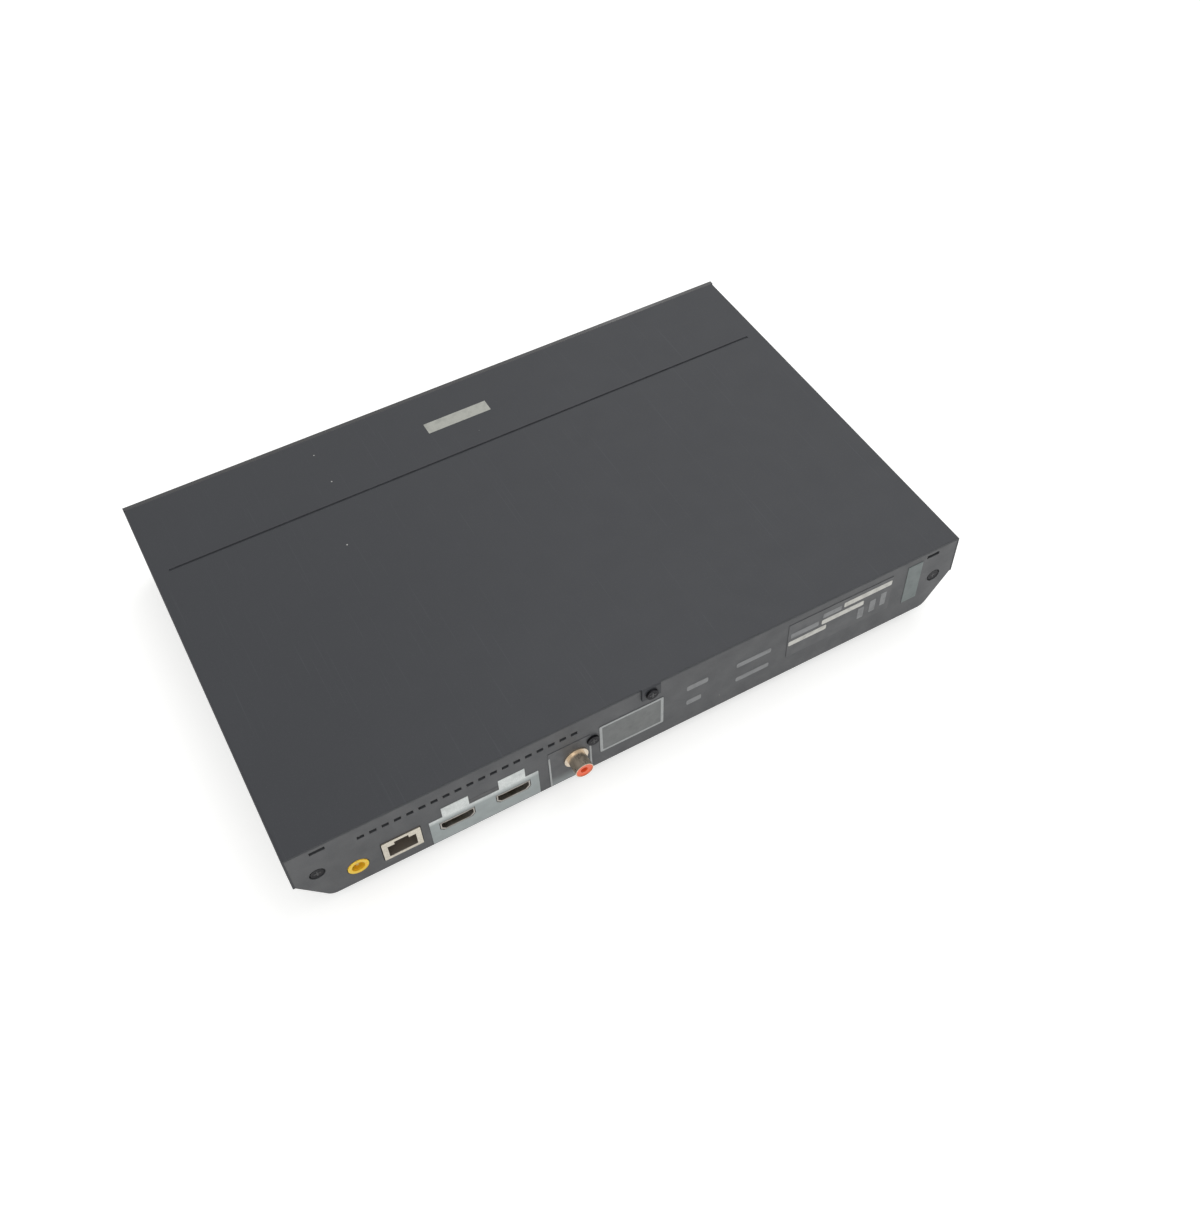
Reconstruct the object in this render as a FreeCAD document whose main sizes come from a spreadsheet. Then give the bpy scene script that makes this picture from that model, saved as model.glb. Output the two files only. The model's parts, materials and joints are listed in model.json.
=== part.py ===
import FreeCAD, Part
import math
import os
import re

import Sketcher

# A slim disc player with a motor tray, fed by a low-voltage DC jack.
# +Z is up, -Y is the front with the tray and +Y is the rear with the sockets.
# The origin is the centre of the footprint at the level of the surface it stands on.
# All lengths are in millimetres.

SIZES = {
    # Casing
    "case_width": 320.0,
    "case_depth": 209.0,
    "case_height": 45.0,
    "cover_sheet": 1.0,
    "cover_side": 22.5,
    "cover_bend": 1.2,
    "chassis_sheet": 1.0,
    "chassis_lap": 8.0,
    "slant_inset": 12.0,
    "slant_corner": 5.0,
    "panel_wall": 2.0,
    "face_wall": 2.5,
    "face_lip": 4.5,
    "case_gap": 0.2,
    "groove_setback": 48.0,
    "groove_end": 7.5,
    "groove_width": 1.3,
    "groove_depth": 0.5,
    "tab_width": 9.0,
    "tab_drop": 7.5,
    "badge_length": 33.0,
    "badge_width": 7.0,
    "badge_setback": 25.0,
    "print_skin": 0.2,
    # Feet
    "foot_height": 5.0,
    "foot_radius": 9.0,
    "foot_edge": 1.0,
    "foot_peg": 2.8,
    "foot_side": 35.0,
    "foot_end": 28.0,
    # Rear panel features
    "vent_inset": 31.0,
    "vent_pitch": 5.23,
    "vent_count": 19,
    "vent_width": 3.0,
    "vent_tall": 2.0,
    "vent_drop": 8.5,
    "hook_inset": 17.0,
    "hook_length": 6.5,
    "hook_tall": 2.0,
    "hook_drop": 4.0,
    "rear_screw_inset": 10.7,
    "rear_screw_rise": 2.7,
    "rear_screw_recess": 3.4,
    "rear_recess_deep": 1.3,
    "tab_screw_place": -1.2,
    "tab_screw_drop": 4.4,
    "jack_screw_step": 8.4,
    "jack_screw_rise": 6.5,
    "screw_head": 2.8,
    "screw_head_tall": 1.1,
    "screw_shank": 1.4,
    "screw_length": 7.0,
    "screw_slack": 0.1,
    # Main board and rear jacks
    "standoff_tall": 3.8,
    "board_wall": 1.6,
    "board_gap": 17.0,
    "board_side": 14.0,
    "board_long": 117.5,
    "board_setback": 1.0,
    "board_inset": 5.0,
    "board_rear_inset": 32.0,
    "board_screw_length": 4.0,
    "loader_screw_length": 12.0,
    "standoff_radius": 3.0,
    "power_inset": 26.4,
    "power_rise": 5.0,
    "power_face": 4.5,
    "power_bore": 2.85,
    "power_pin": 0.7,
    "power_deep": 10.0,
    "power_wall": 1.0,
    "network_step": 19.3,
    "network_width": 17.0,
    "network_tall": 12.6,
    "network_deep": 17.0,
    "network_back": 4.0,
    "network_mouth": 12.4,
    "network_mouth_tall": 7.6,
    "network_latch": 6.2,
    "network_latch_tall": 1.8,
    "video_step": 24.4,
    "video_pitch": 25.5,
    "video_rise": 4.4,
    "video_mouth": 14.2,
    "video_mouth_tall": 4.7,
    "video_wall": 0.6,
    "video_deep": 11.5,
    "video_taper": 1.7,
    "video_tongue": 10.6,
    "video_tongue_tall": 0.9,
    "video_leg": 1.2,
    "coax_step": 29.4,
    "coax_rise": 8.1,
    "coax_reach": 8.0,
    "coax_radius": 4.15,
    "coax_wall": 0.35,
    "coax_bore": 1.6,
    "coax_flange": 5.6,
    "coax_block": 11.0,
    "cutout_gap": 0.3,
    # Printed fields on the rear panel
    "print_rise": 0.6,
    "video_field_before": 11.9,
    "video_field_after": 12.1,
    "video_field_rise": 6.7,
    "video_bump_tall": 6.5,
    "video_bump": 12.0,
    "coax_field_before": 7.4,
    "coax_field_after": 12.6,
    "coax_field_rise": 11.0,
    "blank_far": 42.4,
    "blank_near": 11.6,
    "blank_rise": 8.6,
    "blank_drop": 12.5,
    "rating_near": 35.0,
    "rating_far": 90.0,
    "rating_rise": 12.0,
    "rating_drop": 5.5,
    "patch_near": 19.0,
    "patch_far": 27.0,
    "patch_rise": 10.5,
    "patch_drop": 5.0,
    # Parts on the main board
    "sink_setback": 55.5,
    "sink_side": 40.0,
    "sink_base": 2.5,
    "sink_fin": 1.2,
    "sink_fin_tall": 11.0,
    "sink_fin_count": 9,
    "chip_tall": 1.4,
    "chip_side": 11.0,
    "chip_pitch": 10.0,
    "chip_gap": 1.5,
    "capacitor_inset": 12.4,
    "capacitor_radius": 4.0,
    "capacitor_tall": 11.5,
    "radio_inset": 20.0,
    "radio_setback": 22.0,
    "radio_width": 22.0,
    "radio_length": 28.0,
    "cable_socket_deep": 4.0,
    "cable_socket_tall": 2.4,
    "flat_cable_width": 15.0,
    "flat_cable_wall": 0.3,
    "cable_drop": 7.0,
    # Front controls
    "button_width": 11.0,
    "button_tall": 4.5,
    "button_rise": 4.5,
    "power_button_inset": 17.0,
    "eject_button_inset": 38.0,
    "button_inset": 0.2,
    "button_gap": 0.25,
    "button_flange": 1.5,
    "button_stem": 1.6,
    "button_travel": 0.5,
    "button_edge": 0.4,
    "door_edge": 0.4,
    "face_edge": 0.6,
    "switch_side": 6.0,
    "switch_deep": 3.4,
    "plunger_radius": 1.6,
    "plunger_out": 1.0,
    "plunger_seat": 1.4,
    "front_board_wall": 1.2,
    "front_board_setback": 14.0,
    "front_board_far": 110.0,
    "front_board_near": 8.0,
    "front_board_rise": 9.0,
    "front_board_drop": 7.0,
    "usb_inset": 94.0,
    "usb_mouth": 12.5,
    "usb_mouth_tall": 5.1,
    "usb_wall": 0.4,
    "usb_tongue": 1.9,
    "window_inset": 63.0,
    "window_width": 18.0,
    "window_tall": 7.0,
    "light_inset": 27.5,
    "light_radius": 1.2,
    # Loader chassis
    "loader_inset": 88.0,
    "loader_setback": 8.5,
    "loader_length": 168.0,
    "loader_wall": 2.5,
    "loader_rise": 2.0,
    "loader_floor_wall": 2.0,
    "loader_tall": 29.5,
    "sill_rise": 15.4,
    "tray_side_gap": 0.5,
    "ledge_width": 3.5,
    "ledge_wall": 1.8,
    "hook_reach": 2.0,
    "ear_wall": 2.0,
    "ear_front": 14.0,
    "ear_rear": 20.0,
    "post_radius": 3.0,
    "damper_radius": 4.4,
    "damper_tall": 3.0,
    "damper_rise": 10.0,
    # Disc tray
    "disc_radius": 60.0,
    "disc_play": 0.7,
    "tray_width": 128.0,
    "tray_length": 161.0,
    "tray_lip": 7.0,
    "tray_rise": 19.4,
    "tray_wall": 2.6,
    "tray_well": 2.6,
    "small_disc_radius": 40.6,
    "small_disc_step": 0.8,
    "slot_radius": 28.0,
    "tray_travel": 135.0,
    "tray_lift_gap": 0.3,
    "door_side": 2.0,
    "door_rise": 15.2,
    "door_tall": 12.0,
    "door_gap": 0.4,
    # Gear train
    "gear_module": 1.0,
    "gear_backlash": 0.16,
    "gear_addendum": 0.9,
    "gear_dedendum": 1.2,
    "gear_step": 1.2,
    "pressure_angle": 20.0,
    "rack_spare": 2,
    "drive_teeth": 20,
    "pinion_teeth": 12,
    "gear_rise": 15.7,
    "gear_tall": 3.2,
    "rack_rise": 16.1,
    "rack_back": 3.6,
    "rack_inset": 12.0,
    "gear_setback": 22.5,
    "gear_shaft": 2.0,
    "shaft_slack": 0.05,
    "pulley_radius": 10.4,
    "pulley_rise": 10.6,
    "pulley_tall": 3.0,
    "motor_pulley_radius": 4.2,
    "belt_groove": 1.4,
    "belt_wall": 1.2,
    "belt_tall": 1.4,
    "belt_slack": 0.08,
    "loading_motor_radius": 10.4,
    "loading_motor_tall": 7.6,
    "loading_motor_place": -23.0,
    "loading_shaft": 1.0,
    # Cam slider
    "slider_gap": 1.9,
    "slider_wall": 3.0,
    "slider_half": 40.0,
    "slider_tall": 13.0,
    "slider_travel": 14.0,
    "cam_pin": 1.25,
    "cam_pin_rise": 11.4,
    "guide_tall": 4.0,
    "guide_wall": 1.3,
    "guide_stub": 4.0,
    "cam_slack": 0.15,
    "cam_pin_place": 20.0,
    # Traverse with the turntable and the pickup
    "traverse_half": 40.0,
    "traverse_front": 29.5,
    "traverse_rear": 101.0,
    "traverse_rise": 9.0,
    "traverse_wall": 4.0,
    "pivot_place": 98.0,
    "pivot_radius": 2.0,
    "pivot_reach": 4.5,
    "pivot_ear": 3.4,
    "traverse_drop": 4.9,
    "motor_collar": 4.4,
    "shaft_margin": 3.0,
    "window_half": 31.0,
    "window_front": 16.0,
    "window_rear": 88.0,
    "spindle_motor_radius": 13.0,
    "spindle_motor_tall": 4.4,
    "spindle_shaft": 1.0,
    "turntable_radius": 15.0,
    "turntable_wall": 2.6,
    "disc_lift": 2.2,
    "cone_radius": 7.3,
    "cone_tall": 2.2,
    "cone_slack": 0.9,
    "rod_radius": 1.5,
    "rod_place": 27.0,
    "rod_seat": 3.0,
    "screw_place": 20.0,
    "lead_screw_rise": 6.0,
    "screw_radius": 1.75,
    "sled_motor_radius": 4.3,
    "sled_motor_length": 11.0,
    "sled_half": 14.0,
    "sled_length": 34.0,
    "sled_rise": 6.0,
    "sled_tall": 11.5,
    "sled_front": 17.0,
    "arm_wall": 1.0,
    "arm_half": 4.0,
    "lens_setback": 6.5,
    "lens_house_half": 12.0,
    "lens_house_long": 13.0,
    "lens_house_tall": 3.0,
    "lens_half": 6.2,
    "lens_long": 10.0,
    "lens_tall": 3.6,
    "lens_gap": 0.7,
    "lens_radius": 2.0,
    "lens_dome": 0.6,
    # Clamp
    "bridge_half": 16.0,
    "bridge_sheet": 1.2,
    "bridge_hole": 12.4,
    "boss_radius": 3.2,
    "boss_reach": 3.0,
    "boss_side": 11.0,
    "clamper_radius": 15.5,
    "clamper_rest": 0.9,
    "clamper_gap": 0.9,
    "clamper_neck": 11.0,
    "clamper_flange": 13.5,
    "clamper_flange_wall": 1.8,
    "magnet_radius": 8.0,
    "magnet_tall": 2.0,
    # Drive board
    "drive_board_width": 44.0,
    "drive_board_long": 28.0,
    "drive_board_gap": 16.0,
    "seat_gap": 0.3,
}

# Places that several pieces share, written with the names of the sheet.
FRONT = "(-(case_depth + coax_reach) / 2)"
REAR = f"({FRONT} + case_depth)"
SIDE = "(case_width / 2)"
BREAK = "(case_height - cover_side)"
PAN_SIDE = f"({SIDE} - cover_sheet - case_gap)"
PAN_FOOT = f"({PAN_SIDE} - slant_inset)"
PAN_TOP = f"({BREAK} + chassis_lap)"
PAN_FLOOR = "(foot_height + chassis_sheet)"
FACE_BACK = f"({FRONT} + face_wall)"
PANEL_FRONT = f"({REAR} - panel_wall)"
COVER_INSIDE = "(case_height - cover_sheet)"
HALF_TRAY = "(tray_width / 2)"
LOADER_IN = f"({HALF_TRAY} + tray_side_gap)"
LOADER_OUT = f"({LOADER_IN} + loader_wall)"
LOADER_FRONT = f"({FRONT} + loader_setback)"
LOADER_REAR = f"({LOADER_FRONT} + loader_length)"
LOADER_DECK = "(loader_floor + loader_floor_wall)"
TRAY_FRONT = FACE_BACK
DISC_ROW = f"({TRAY_FRONT} + tray_lip + disc_radius + disc_play)"
RACK_LINE = "(loader_place + rack_place)"
PITCH_RADIUS = "(gear_module * drive_teeth / 2)"
PINION_RADIUS = "(gear_module * pinion_teeth / 2)"
DRIVE_PLACE = f"({RACK_LINE} - {PITCH_RADIUS})"
PULLEY_PLACE = f"({DRIVE_PLACE} - {PITCH_RADIUS} - {PINION_RADIUS})"
MOTOR_PLACE = "(loader_place + loading_motor_place)"
GEAR_ROW = f"({FRONT} + gear_setback)"
TRAVERSE_FRONT = f"({DISC_ROW} - traverse_front)"
TRAVERSE_TOP = "(traverse_base + traverse_wall)"
PIVOT_ROW = f"({DISC_ROW} + pivot_place)"
PIVOT_LEVEL = "(traverse_base + traverse_wall / 2)"
SLIDER_REAR = f"({TRAVERSE_FRONT} - slider_gap)"
SLIDER_FRONT = f"({SLIDER_REAR} - slider_wall)"
CAM_FALL = "(traverse_drop * (pivot_place + traverse_front + slider_gap + slider_wall / 2) / pivot_place)"
SLED_FRONT = f"({DISC_ROW} + sled_front)"
LENS_ROW = f"({SLED_FRONT} + lens_setback)"
BOARD_BASE = "(board_level - board_wall)"
BOARD_REAR = f"({PANEL_FRONT} - board_setback)"
FRONT_BOARD = f"({FRONT} + front_board_setback)"
SWITCH_FACE = f"({FRONT_BOARD} - switch_deep)"
DRIVE_BOARD_REAR = "(board_front - drive_board_gap)"
DRIVE_BOARD_RIGHT = "(board_left + drive_board_width)"
DRIVE_TALL = "(loader_tall + bridge_sheet + seat_gap + clamper_flange_wall)"
HALF_ROOM = f"(({COVER_INSIDE} - {PAN_FLOOR} - {DRIVE_TALL}) / 2)"
PLUNGER_TIP = f"({SWITCH_FACE} - plunger_out)"
SCREW_HOLE = "(screw_shank + screw_slack)"
PEG_HOLE = "(foot_peg + screw_slack)"
POST_REACH = f"({LOADER_OUT} + damper_radius + seat_gap)"
POST_LEFT = f"(loader_place - {POST_REACH})"
POST_RIGHT = f"(loader_place + {POST_REACH})"
POST_ROWS = [f"({LOADER_FRONT} + ear_front)", f"({LOADER_REAR} - ear_rear)"]
LOADER_POSTS = [(side, row) for side in (POST_LEFT, POST_RIGHT) for row in POST_ROWS]
BRIDGE_BOSSES = [
    (f"(loader_place + {hand}({LOADER_OUT} + boss_reach))", f"({DISC_ROW} + {way}boss_side)")
    for hand in ("", "-") for way in ("", "-")
]
BOARD_POSTS = [
    ("(board_left + board_inset)", "(board_front + board_inset)"),
    ("(board_right - board_inset)", "(board_front + board_inset)"),
    ("(board_left + board_inset)", f"({BOARD_REAR} - board_rear_inset)"),
    ("(board_right - board_inset)", f"({BOARD_REAR} - board_rear_inset)"),
]
DRIVE_BOARD_POSTS = [
    (place, f"({DRIVE_BOARD_REAR} - drive_board_long / 2)")
    for place in ("(board_left + board_inset)", f"({DRIVE_BOARD_RIGHT} - board_inset)")
]
FRONT_BOARD_STANDS = ["(front_board_left + board_inset)", "(front_board_right - board_inset * 2)"]
FEET = [
    (f"({hand}({SIDE} - foot_side))", row)
    for hand in ("", "-")
    for row in (f"({FRONT} + foot_end)", f"({REAR} - foot_end)")
]

# Places and levels that have names of their own in the formulas.
# The drive stands a small rise above the pan, or halfway in the room that a lower casing leaves.
PLACES = {
    # Rear face
    "power_place": f"{SIDE} - power_inset",
    "network_place": "power_place - network_step",
    "video_first": "network_place - video_step",
    "video_second": "video_first - video_pitch",
    "coax_place": "video_second - coax_step",
    "jack_screw_place": "coax_place - jack_screw_step",
    "power_level": "board_level + power_rise",
    "video_level": "board_level + video_rise",
    "coax_level": "board_level + coax_rise",
    "jack_screw_level": "coax_level + jack_screw_rise",
    "vent_first": f"{SIDE} - vent_inset",
    "vent_level": "case_height - vent_drop",
    "hook_inner": f"{SIDE} - hook_inset",
    "hook_level": "case_height - hook_drop",
    "rear_screw_side": f"{SIDE} - rear_screw_inset",
    "rear_screw_level": f"{BREAK} + rear_screw_rise",
    "tab_screw_level": "case_height - tab_screw_drop",
    "video_field_left": "video_second - video_field_before",
    "video_field_right": "video_first + video_field_after",
    "print_base": "foot_height + print_rise",
    "video_field_step": "video_level + video_field_rise",
    "video_field_top": "video_field_step + video_bump_tall",
    "coax_field_left": "coax_place - coax_field_before",
    "coax_field_right": "coax_place + coax_field_after",
    "coax_field_top": "coax_level + coax_field_rise",
    "blank_left": "coax_place - blank_far",
    "blank_right": "coax_place - blank_near",
    "blank_base": "foot_height + blank_rise",
    "blank_top": "case_height - blank_drop",
    "rating_left": f"rating_near - {SIDE}",
    "rating_right": f"rating_far - {SIDE}",
    "rating_base": "foot_height + rating_rise",
    "rating_top": "case_height - rating_drop",
    "patch_left": f"patch_near - {SIDE}",
    "patch_right": f"patch_far - {SIDE}",
    "patch_base": "foot_height + patch_rise",
    "patch_top": "case_height - patch_drop",
    # Boards
    "board_left": f"loader_place + {LOADER_OUT} + board_gap",
    "board_right": f"{SIDE} - board_side",
    "board_front": f"{BOARD_REAR} - board_long",
    "board_level": f"{PAN_FLOOR} + standoff_tall + board_wall",
    "sink_place": "(board_left + board_right) / 2",
    "sink_row": f"{BOARD_REAR} - sink_setback",
    "capacitor_place": "board_right - capacitor_inset",
    "radio_place": "board_left + radio_inset",
    "radio_row": "board_front + radio_setback",
    "front_board_left": f"{SIDE} - front_board_far",
    "front_board_right": f"{SIDE} - front_board_near",
    "front_board_base": f"{PAN_FLOOR} + front_board_rise",
    "front_board_top": "case_height - front_board_drop",
    # Front controls
    "button_level": f"{BREAK} + button_rise",
    "power_button_place": f"{SIDE} - power_button_inset",
    "eject_button_place": f"{SIDE} - eject_button_inset",
    "usb_place": f"{SIDE} - usb_inset",
    "window_place": f"{SIDE} - window_inset",
    "light_place": f"{SIDE} - light_inset",
    # Drive
    "loader_place": f"loader_inset - {SIDE}",
    "loader_floor": f"{PAN_FLOOR} + min(loader_rise; {HALF_ROOM})",
    "loader_top": "loader_floor + loader_tall",
    "loader_sill": "loader_floor + sill_rise",
    "damper_base": "loader_floor + damper_rise",
    "tray_base": "loader_floor + tray_rise",
    "tray_floor": "tray_base + tray_wall",
    "tray_top": "tray_floor + tray_well",
    "door_width": "tray_width + door_side * 2",
    "door_base": "loader_floor + door_rise",
    "door_top": "door_base + door_tall",
    "rack_place": f"{HALF_TRAY} - rack_inset",
    "rack_base": "loader_floor + rack_rise",
    "gear_base": "loader_floor + gear_rise",
    "pulley_base": "loader_floor + pulley_rise",
    "cam_pin_level": "loader_floor + cam_pin_rise",
    "traverse_base": "loader_floor + traverse_rise",
    "screw_level": "loader_floor + lead_screw_rise",
    "sled_base": "loader_floor + sled_rise",
    "sled_top": "sled_base + sled_tall",
    "disc_seat": "tray_floor + disc_lift",
    "clamper_base": "disc_seat + clamper_rest",
}

# Points of a tooth that are nearer than this are one point.
TOUCH = 0.001

doc = FreeCAD.newDocument("disc_player")
sheet = doc.addObject("Spreadsheet::Sheet", "Sizes")
sub_parts = []


def fill_sheet():
    """Put each driving dimension in a cell of its own, with its name."""
    for row, (name, size) in enumerate(SIZES.items(), start=1):
        sheet.set(f"A{row}", str(size))
        sheet.setAlias(f"A{row}", name)
    doc.recompute()


def bound(formula):
    """Give a formula of named sizes and places in the form that an expression reads."""
    def in_sheet(word):
        name = word[0]
        if name in PLACES:
            return f"({bound(PLACES[name])})"
        return f"Sizes.{name}" if name in SIZES else name
    return re.sub(r"[a-z][a-z_]*", in_sheet, str(formula))


def number(formula):
    """Work a formula of named sizes and places out, in millimetres."""
    return float(sheet.evalExpression(bound(formula)))


def keep(item, label):
    """Make an object of the document a sub-part under its own label."""
    item.Label = label
    sub_parts.append(item)
    return item


# Sketches and features

def polygon(*corners):
    """Draw a closed outline through corners that each have two formulas."""
    def draw(sketch):
        first = sketch.GeometryCount
        count = len(corners)
        points = [FreeCAD.Vector(number(u), number(v), 0) for u, v in corners]
        for index in range(count):
            line = Part.LineSegment(points[index], points[(index + 1) % count])
            sketch.addGeometry(line, False)
        for index in range(count):
            following = first + (index + 1) % count
            sketch.addConstraint(Sketcher.Constraint("Coincident", first + index, 2, following, 1))
        for index, (u, v) in enumerate(corners):
            tie(sketch, "DistanceX", first + index, 1, u)
            tie(sketch, "DistanceY", first + index, 1, v)
    return draw


def rectangle(left, right, base, top):
    """Draw a rectangle between four formulas."""
    return polygon((left, base), (right, base), (right, top), (left, top))


def centred(u, v, width, tall, margin="0"):
    """Draw a rectangle about a centre, grown by a margin on every side."""
    across = f"({width} / 2 + ({margin}))"
    up = f"({tall} / 2 + ({margin}))"
    return rectangle(f"{u} - {across}", f"{u} + {across}", f"{v} - {up}", f"{v} + {up}")


def circle(u, v, radius):
    """Draw a circle whose centre and radius are formulas."""
    def draw(sketch):
        index = sketch.GeometryCount
        centre = FreeCAD.Vector(number(u), number(v), 0)
        sketch.addGeometry(Part.Circle(centre, FreeCAD.Vector(0, 0, 1), number(radius)), False)
        place = sketch.addConstraint(Sketcher.Constraint("Radius", index, number(radius)))
        sketch.setExpression(f"Constraints[{place}]", bound(radius))
        tie(sketch, "DistanceX", index, 3, u)
        tie(sketch, "DistanceY", index, 3, v)
    return draw


def tie(sketch, kind, index, point, formula):
    """Hold one point of a sketch at a formula's distance from the origin."""
    place = sketch.addConstraint(Sketcher.Constraint(kind, -1, 1, index, point, number(formula)))
    sketch.setExpression(f"Constraints[{place}]", bound(formula))


def new_body(label):
    """Start a sub-part that is built from sketches."""
    return keep(doc.addObject("PartDesign::Body", label), label)


def add_sketch(body, plane, offset, loops):
    """Lay a sketch parallel to one of the body's own origin planes."""
    sketch = body.newObject("Sketcher::SketchObject", f"{body.Name}_sketch")
    origin_plane = [item for item in body.Origin.OriginFeatures if item.Role == f"{plane}_Plane"][0]
    sketch.AttachmentSupport = [(origin_plane, "")]
    sketch.MapMode = "FlatFace"
    sketch.setExpression("AttachmentOffset.Base.z", bound(offset))
    for draw in loops:
        draw(sketch)
    return sketch


def pad(body, plane, low, high, *loops):
    """Add the outlines between two levels of the plane's normal axis."""
    start = f"-({high})" if plane == "XZ" else low
    item = body.newObject("PartDesign::Pad", f"{body.Name}_pad")
    item.Profile = add_sketch(body, plane, start, loops)
    item.setExpression("Length", bound(f"({high}) - ({low})"))
    body.Tip = item
    return item


def pocket(body, plane, low, high, *loops):
    """Cut the outlines out between two levels of the plane's normal axis."""
    start = f"-({low})" if plane == "XZ" else high
    item = body.newObject("PartDesign::Pocket", f"{body.Name}_pocket")
    item.Profile = add_sketch(body, plane, start, loops)
    item.setExpression("Length", bound(f"({high}) - ({low})"))
    body.Tip = item
    return item


def repeat(body, feature, axis, length, count):
    """Repeat a feature in a row along an axis of its sketch."""
    item = body.newObject("PartDesign::LinearPattern", f"{body.Name}_row")
    item.Originals = [feature]
    item.Direction = (feature.Profile[0], [axis])
    item.setExpression("Length", bound(length))
    item.setExpression("Occurrences", bound(count))
    body.Tip = item
    return item


def round_edges(body, radius, axis, *places):
    """Round the straight edges along an axis that pass through the given places."""
    doc.recompute()
    others = [index for index in range(3) if index != "XYZ".index(axis)]
    targets = [(number(u), number(v)) for u, v in places]
    names = []
    base = body.Tip
    for index, edge in enumerate(base.Shape.Edges, start=1):
        ends = [vertex.Point for vertex in edge.Vertexes]
        for target in targets:
            if len(ends) == 2 and all(
                abs(end[other] - goal) < 0.01 for end in ends for other, goal in zip(others, target)
            ):
                names.append(f"Edge{index}")
    item = body.newObject("PartDesign::Fillet", f"{body.Name}_fillet")
    item.Base = (base, names)
    item.setExpression("Radius", bound(radius))
    body.Tip = item
    return item


# Primitives

def block(label, left, right, front, rear, base, top):
    """Make a box between two formulas on each axis."""
    item = doc.addObject("Part::Box", label)
    sizes = {"Length": (left, right), "Width": (front, rear), "Height": (base, top)}
    for (side, (low, high)), axis in zip(sizes.items(), "xyz"):
        item.setExpression(side, bound(f"({high}) - ({low})"))
        item.setExpression(f"Placement.Base.{axis}", bound(low))
    return item


def rod(label, axis, place, radius, low, high):
    """Make a round bar along an axis, between two formulas on it."""
    item = doc.addObject("Part::Cylinder", label)
    turns = {"X": ((0, 1, 0), 90), "Y": ((1, 0, 0), -90), "Z": ((0, 0, 1), 0)}
    about, angle = turns[axis]
    item.Placement = FreeCAD.Placement(FreeCAD.Vector(), FreeCAD.Rotation(FreeCAD.Vector(*about), angle))
    item.setExpression("Radius", bound(radius))
    item.setExpression("Height", bound(f"({high}) - ({low})"))
    others = [letter for letter in "XYZ" if letter != axis]
    for letter, formula in zip(others, place):
        item.setExpression(f"Placement.Base.{letter.lower()}", bound(formula))
    item.setExpression(f"Placement.Base.{axis.lower()}", bound(low))
    return item


def fuse(label, *items):
    """Join several shapes into one solid."""
    item = doc.addObject("Part::MultiFuse", label)
    item.Shapes = list(items)
    item.Refine = True
    return item


def cut(label, base, *tools):
    """Take one or more shapes out of another."""
    item = doc.addObject("Part::Cut", label)
    item.Base = base
    item.Tool = tools[0] if len(tools) == 1 else fuse(f"{label}_tools", *tools)
    return item


def group(label, *items):
    """Keep several separate solids as one sub-part."""
    item = doc.addObject("Part::Compound", label)
    item.Links = list(items)
    return keep(item, label)


def turned(name, u, v, corners):
    """Turn a profile of radius and height about a vertical axis at u and v."""
    body = doc.addObject("PartDesign::Body", name)
    sketch = add_sketch(body, "XZ", "0", [polygon(*corners)])
    item = body.newObject("PartDesign::Revolution", f"{name}_turn")
    item.Profile = sketch
    item.ReferenceAxis = (sketch, ["V_Axis"])
    item.Angle = 360
    body.Tip = item
    body.setExpression("Placement.Base.x", bound(u))
    body.setExpression("Placement.Base.y", bound(v))
    return body


def screw(name, axis, place, seat, length="screw_length"):
    """Make a screw whose head stands outward on a seat, with its shank inward."""
    head = rod(f"{name}_head", axis, place, "screw_head", seat, f"{seat} + screw_head_tall")
    shank = rod(f"{name}_shank", axis, place, "screw_shank", f"{seat} - {length}", seat)
    return fuse(name, head, shank)


def place_x(formula):
    """Give a formula across the drive, counted from the middle of the tray."""
    return f"(loader_place + ({formula}))"


def place_y(formula):
    """Give a formula along the drive, counted from the middle of the disc."""
    return f"({DISC_ROW} + ({formula}))"


# Casing

def make_top_cover():
    """Fold the sheet cover over the top and both sides, with its groove and rear tab."""
    body = new_body("top_cover")
    inner = f"({SIDE} - cover_sheet)"
    pad(body, "XZ", FACE_BACK, REAR, polygon(
        (f"-{SIDE}", BREAK), (f"-{SIDE}", "case_height"), (SIDE, "case_height"), (SIDE, BREAK),
        (inner, BREAK), (inner, COVER_INSIDE), (f"-{inner}", COVER_INSIDE), (f"-{inner}", BREAK),
    ))
    round_edges(body, "cover_bend", "Y", (SIDE, "case_height"), (f"-{SIDE}", "case_height"))
    tab_left = "(tab_screw_place - tab_width / 2)"
    tab_right = "(tab_screw_place + tab_width / 2)"
    tab_back = f"({REAR} + cover_sheet)"
    pad(body, "XZ", REAR, tab_back, rectangle(tab_left, tab_right, "case_height - tab_drop", "case_height"))
    pocket(body, "XZ", REAR, tab_back, circle("tab_screw_place", "tab_screw_level", SCREW_HOLE))
    groove = f"({FRONT} + groove_setback)"
    pocket(body, "XY", "case_height - groove_depth", "case_height", rectangle(
        f"-({SIDE} - groove_end)", f"{SIDE} - groove_end",
        f"{groove} - groove_width / 2", f"{groove} + groove_width / 2",
    ))
    pocket(body, "XY", "case_height - print_skin", "case_height", badge_outline())
    round_edges(body, "cover_sheet * 0.8", "X", (tab_back, "case_height"))


def badge_outline():
    """Give the outline that the badge bar and its seat in the cover share."""
    row = f"({FRONT} + badge_setback)"
    return rectangle("-badge_length / 2", "badge_length / 2",
                     f"{row} - badge_width / 2", f"{row} + badge_width / 2")


def make_badge_bar():
    """Lay the blank badge bar into its shallow seat in the cover."""
    body = new_body("badge_bar")
    pad(body, "XY", "case_height - print_skin", "case_height", badge_outline())


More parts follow.
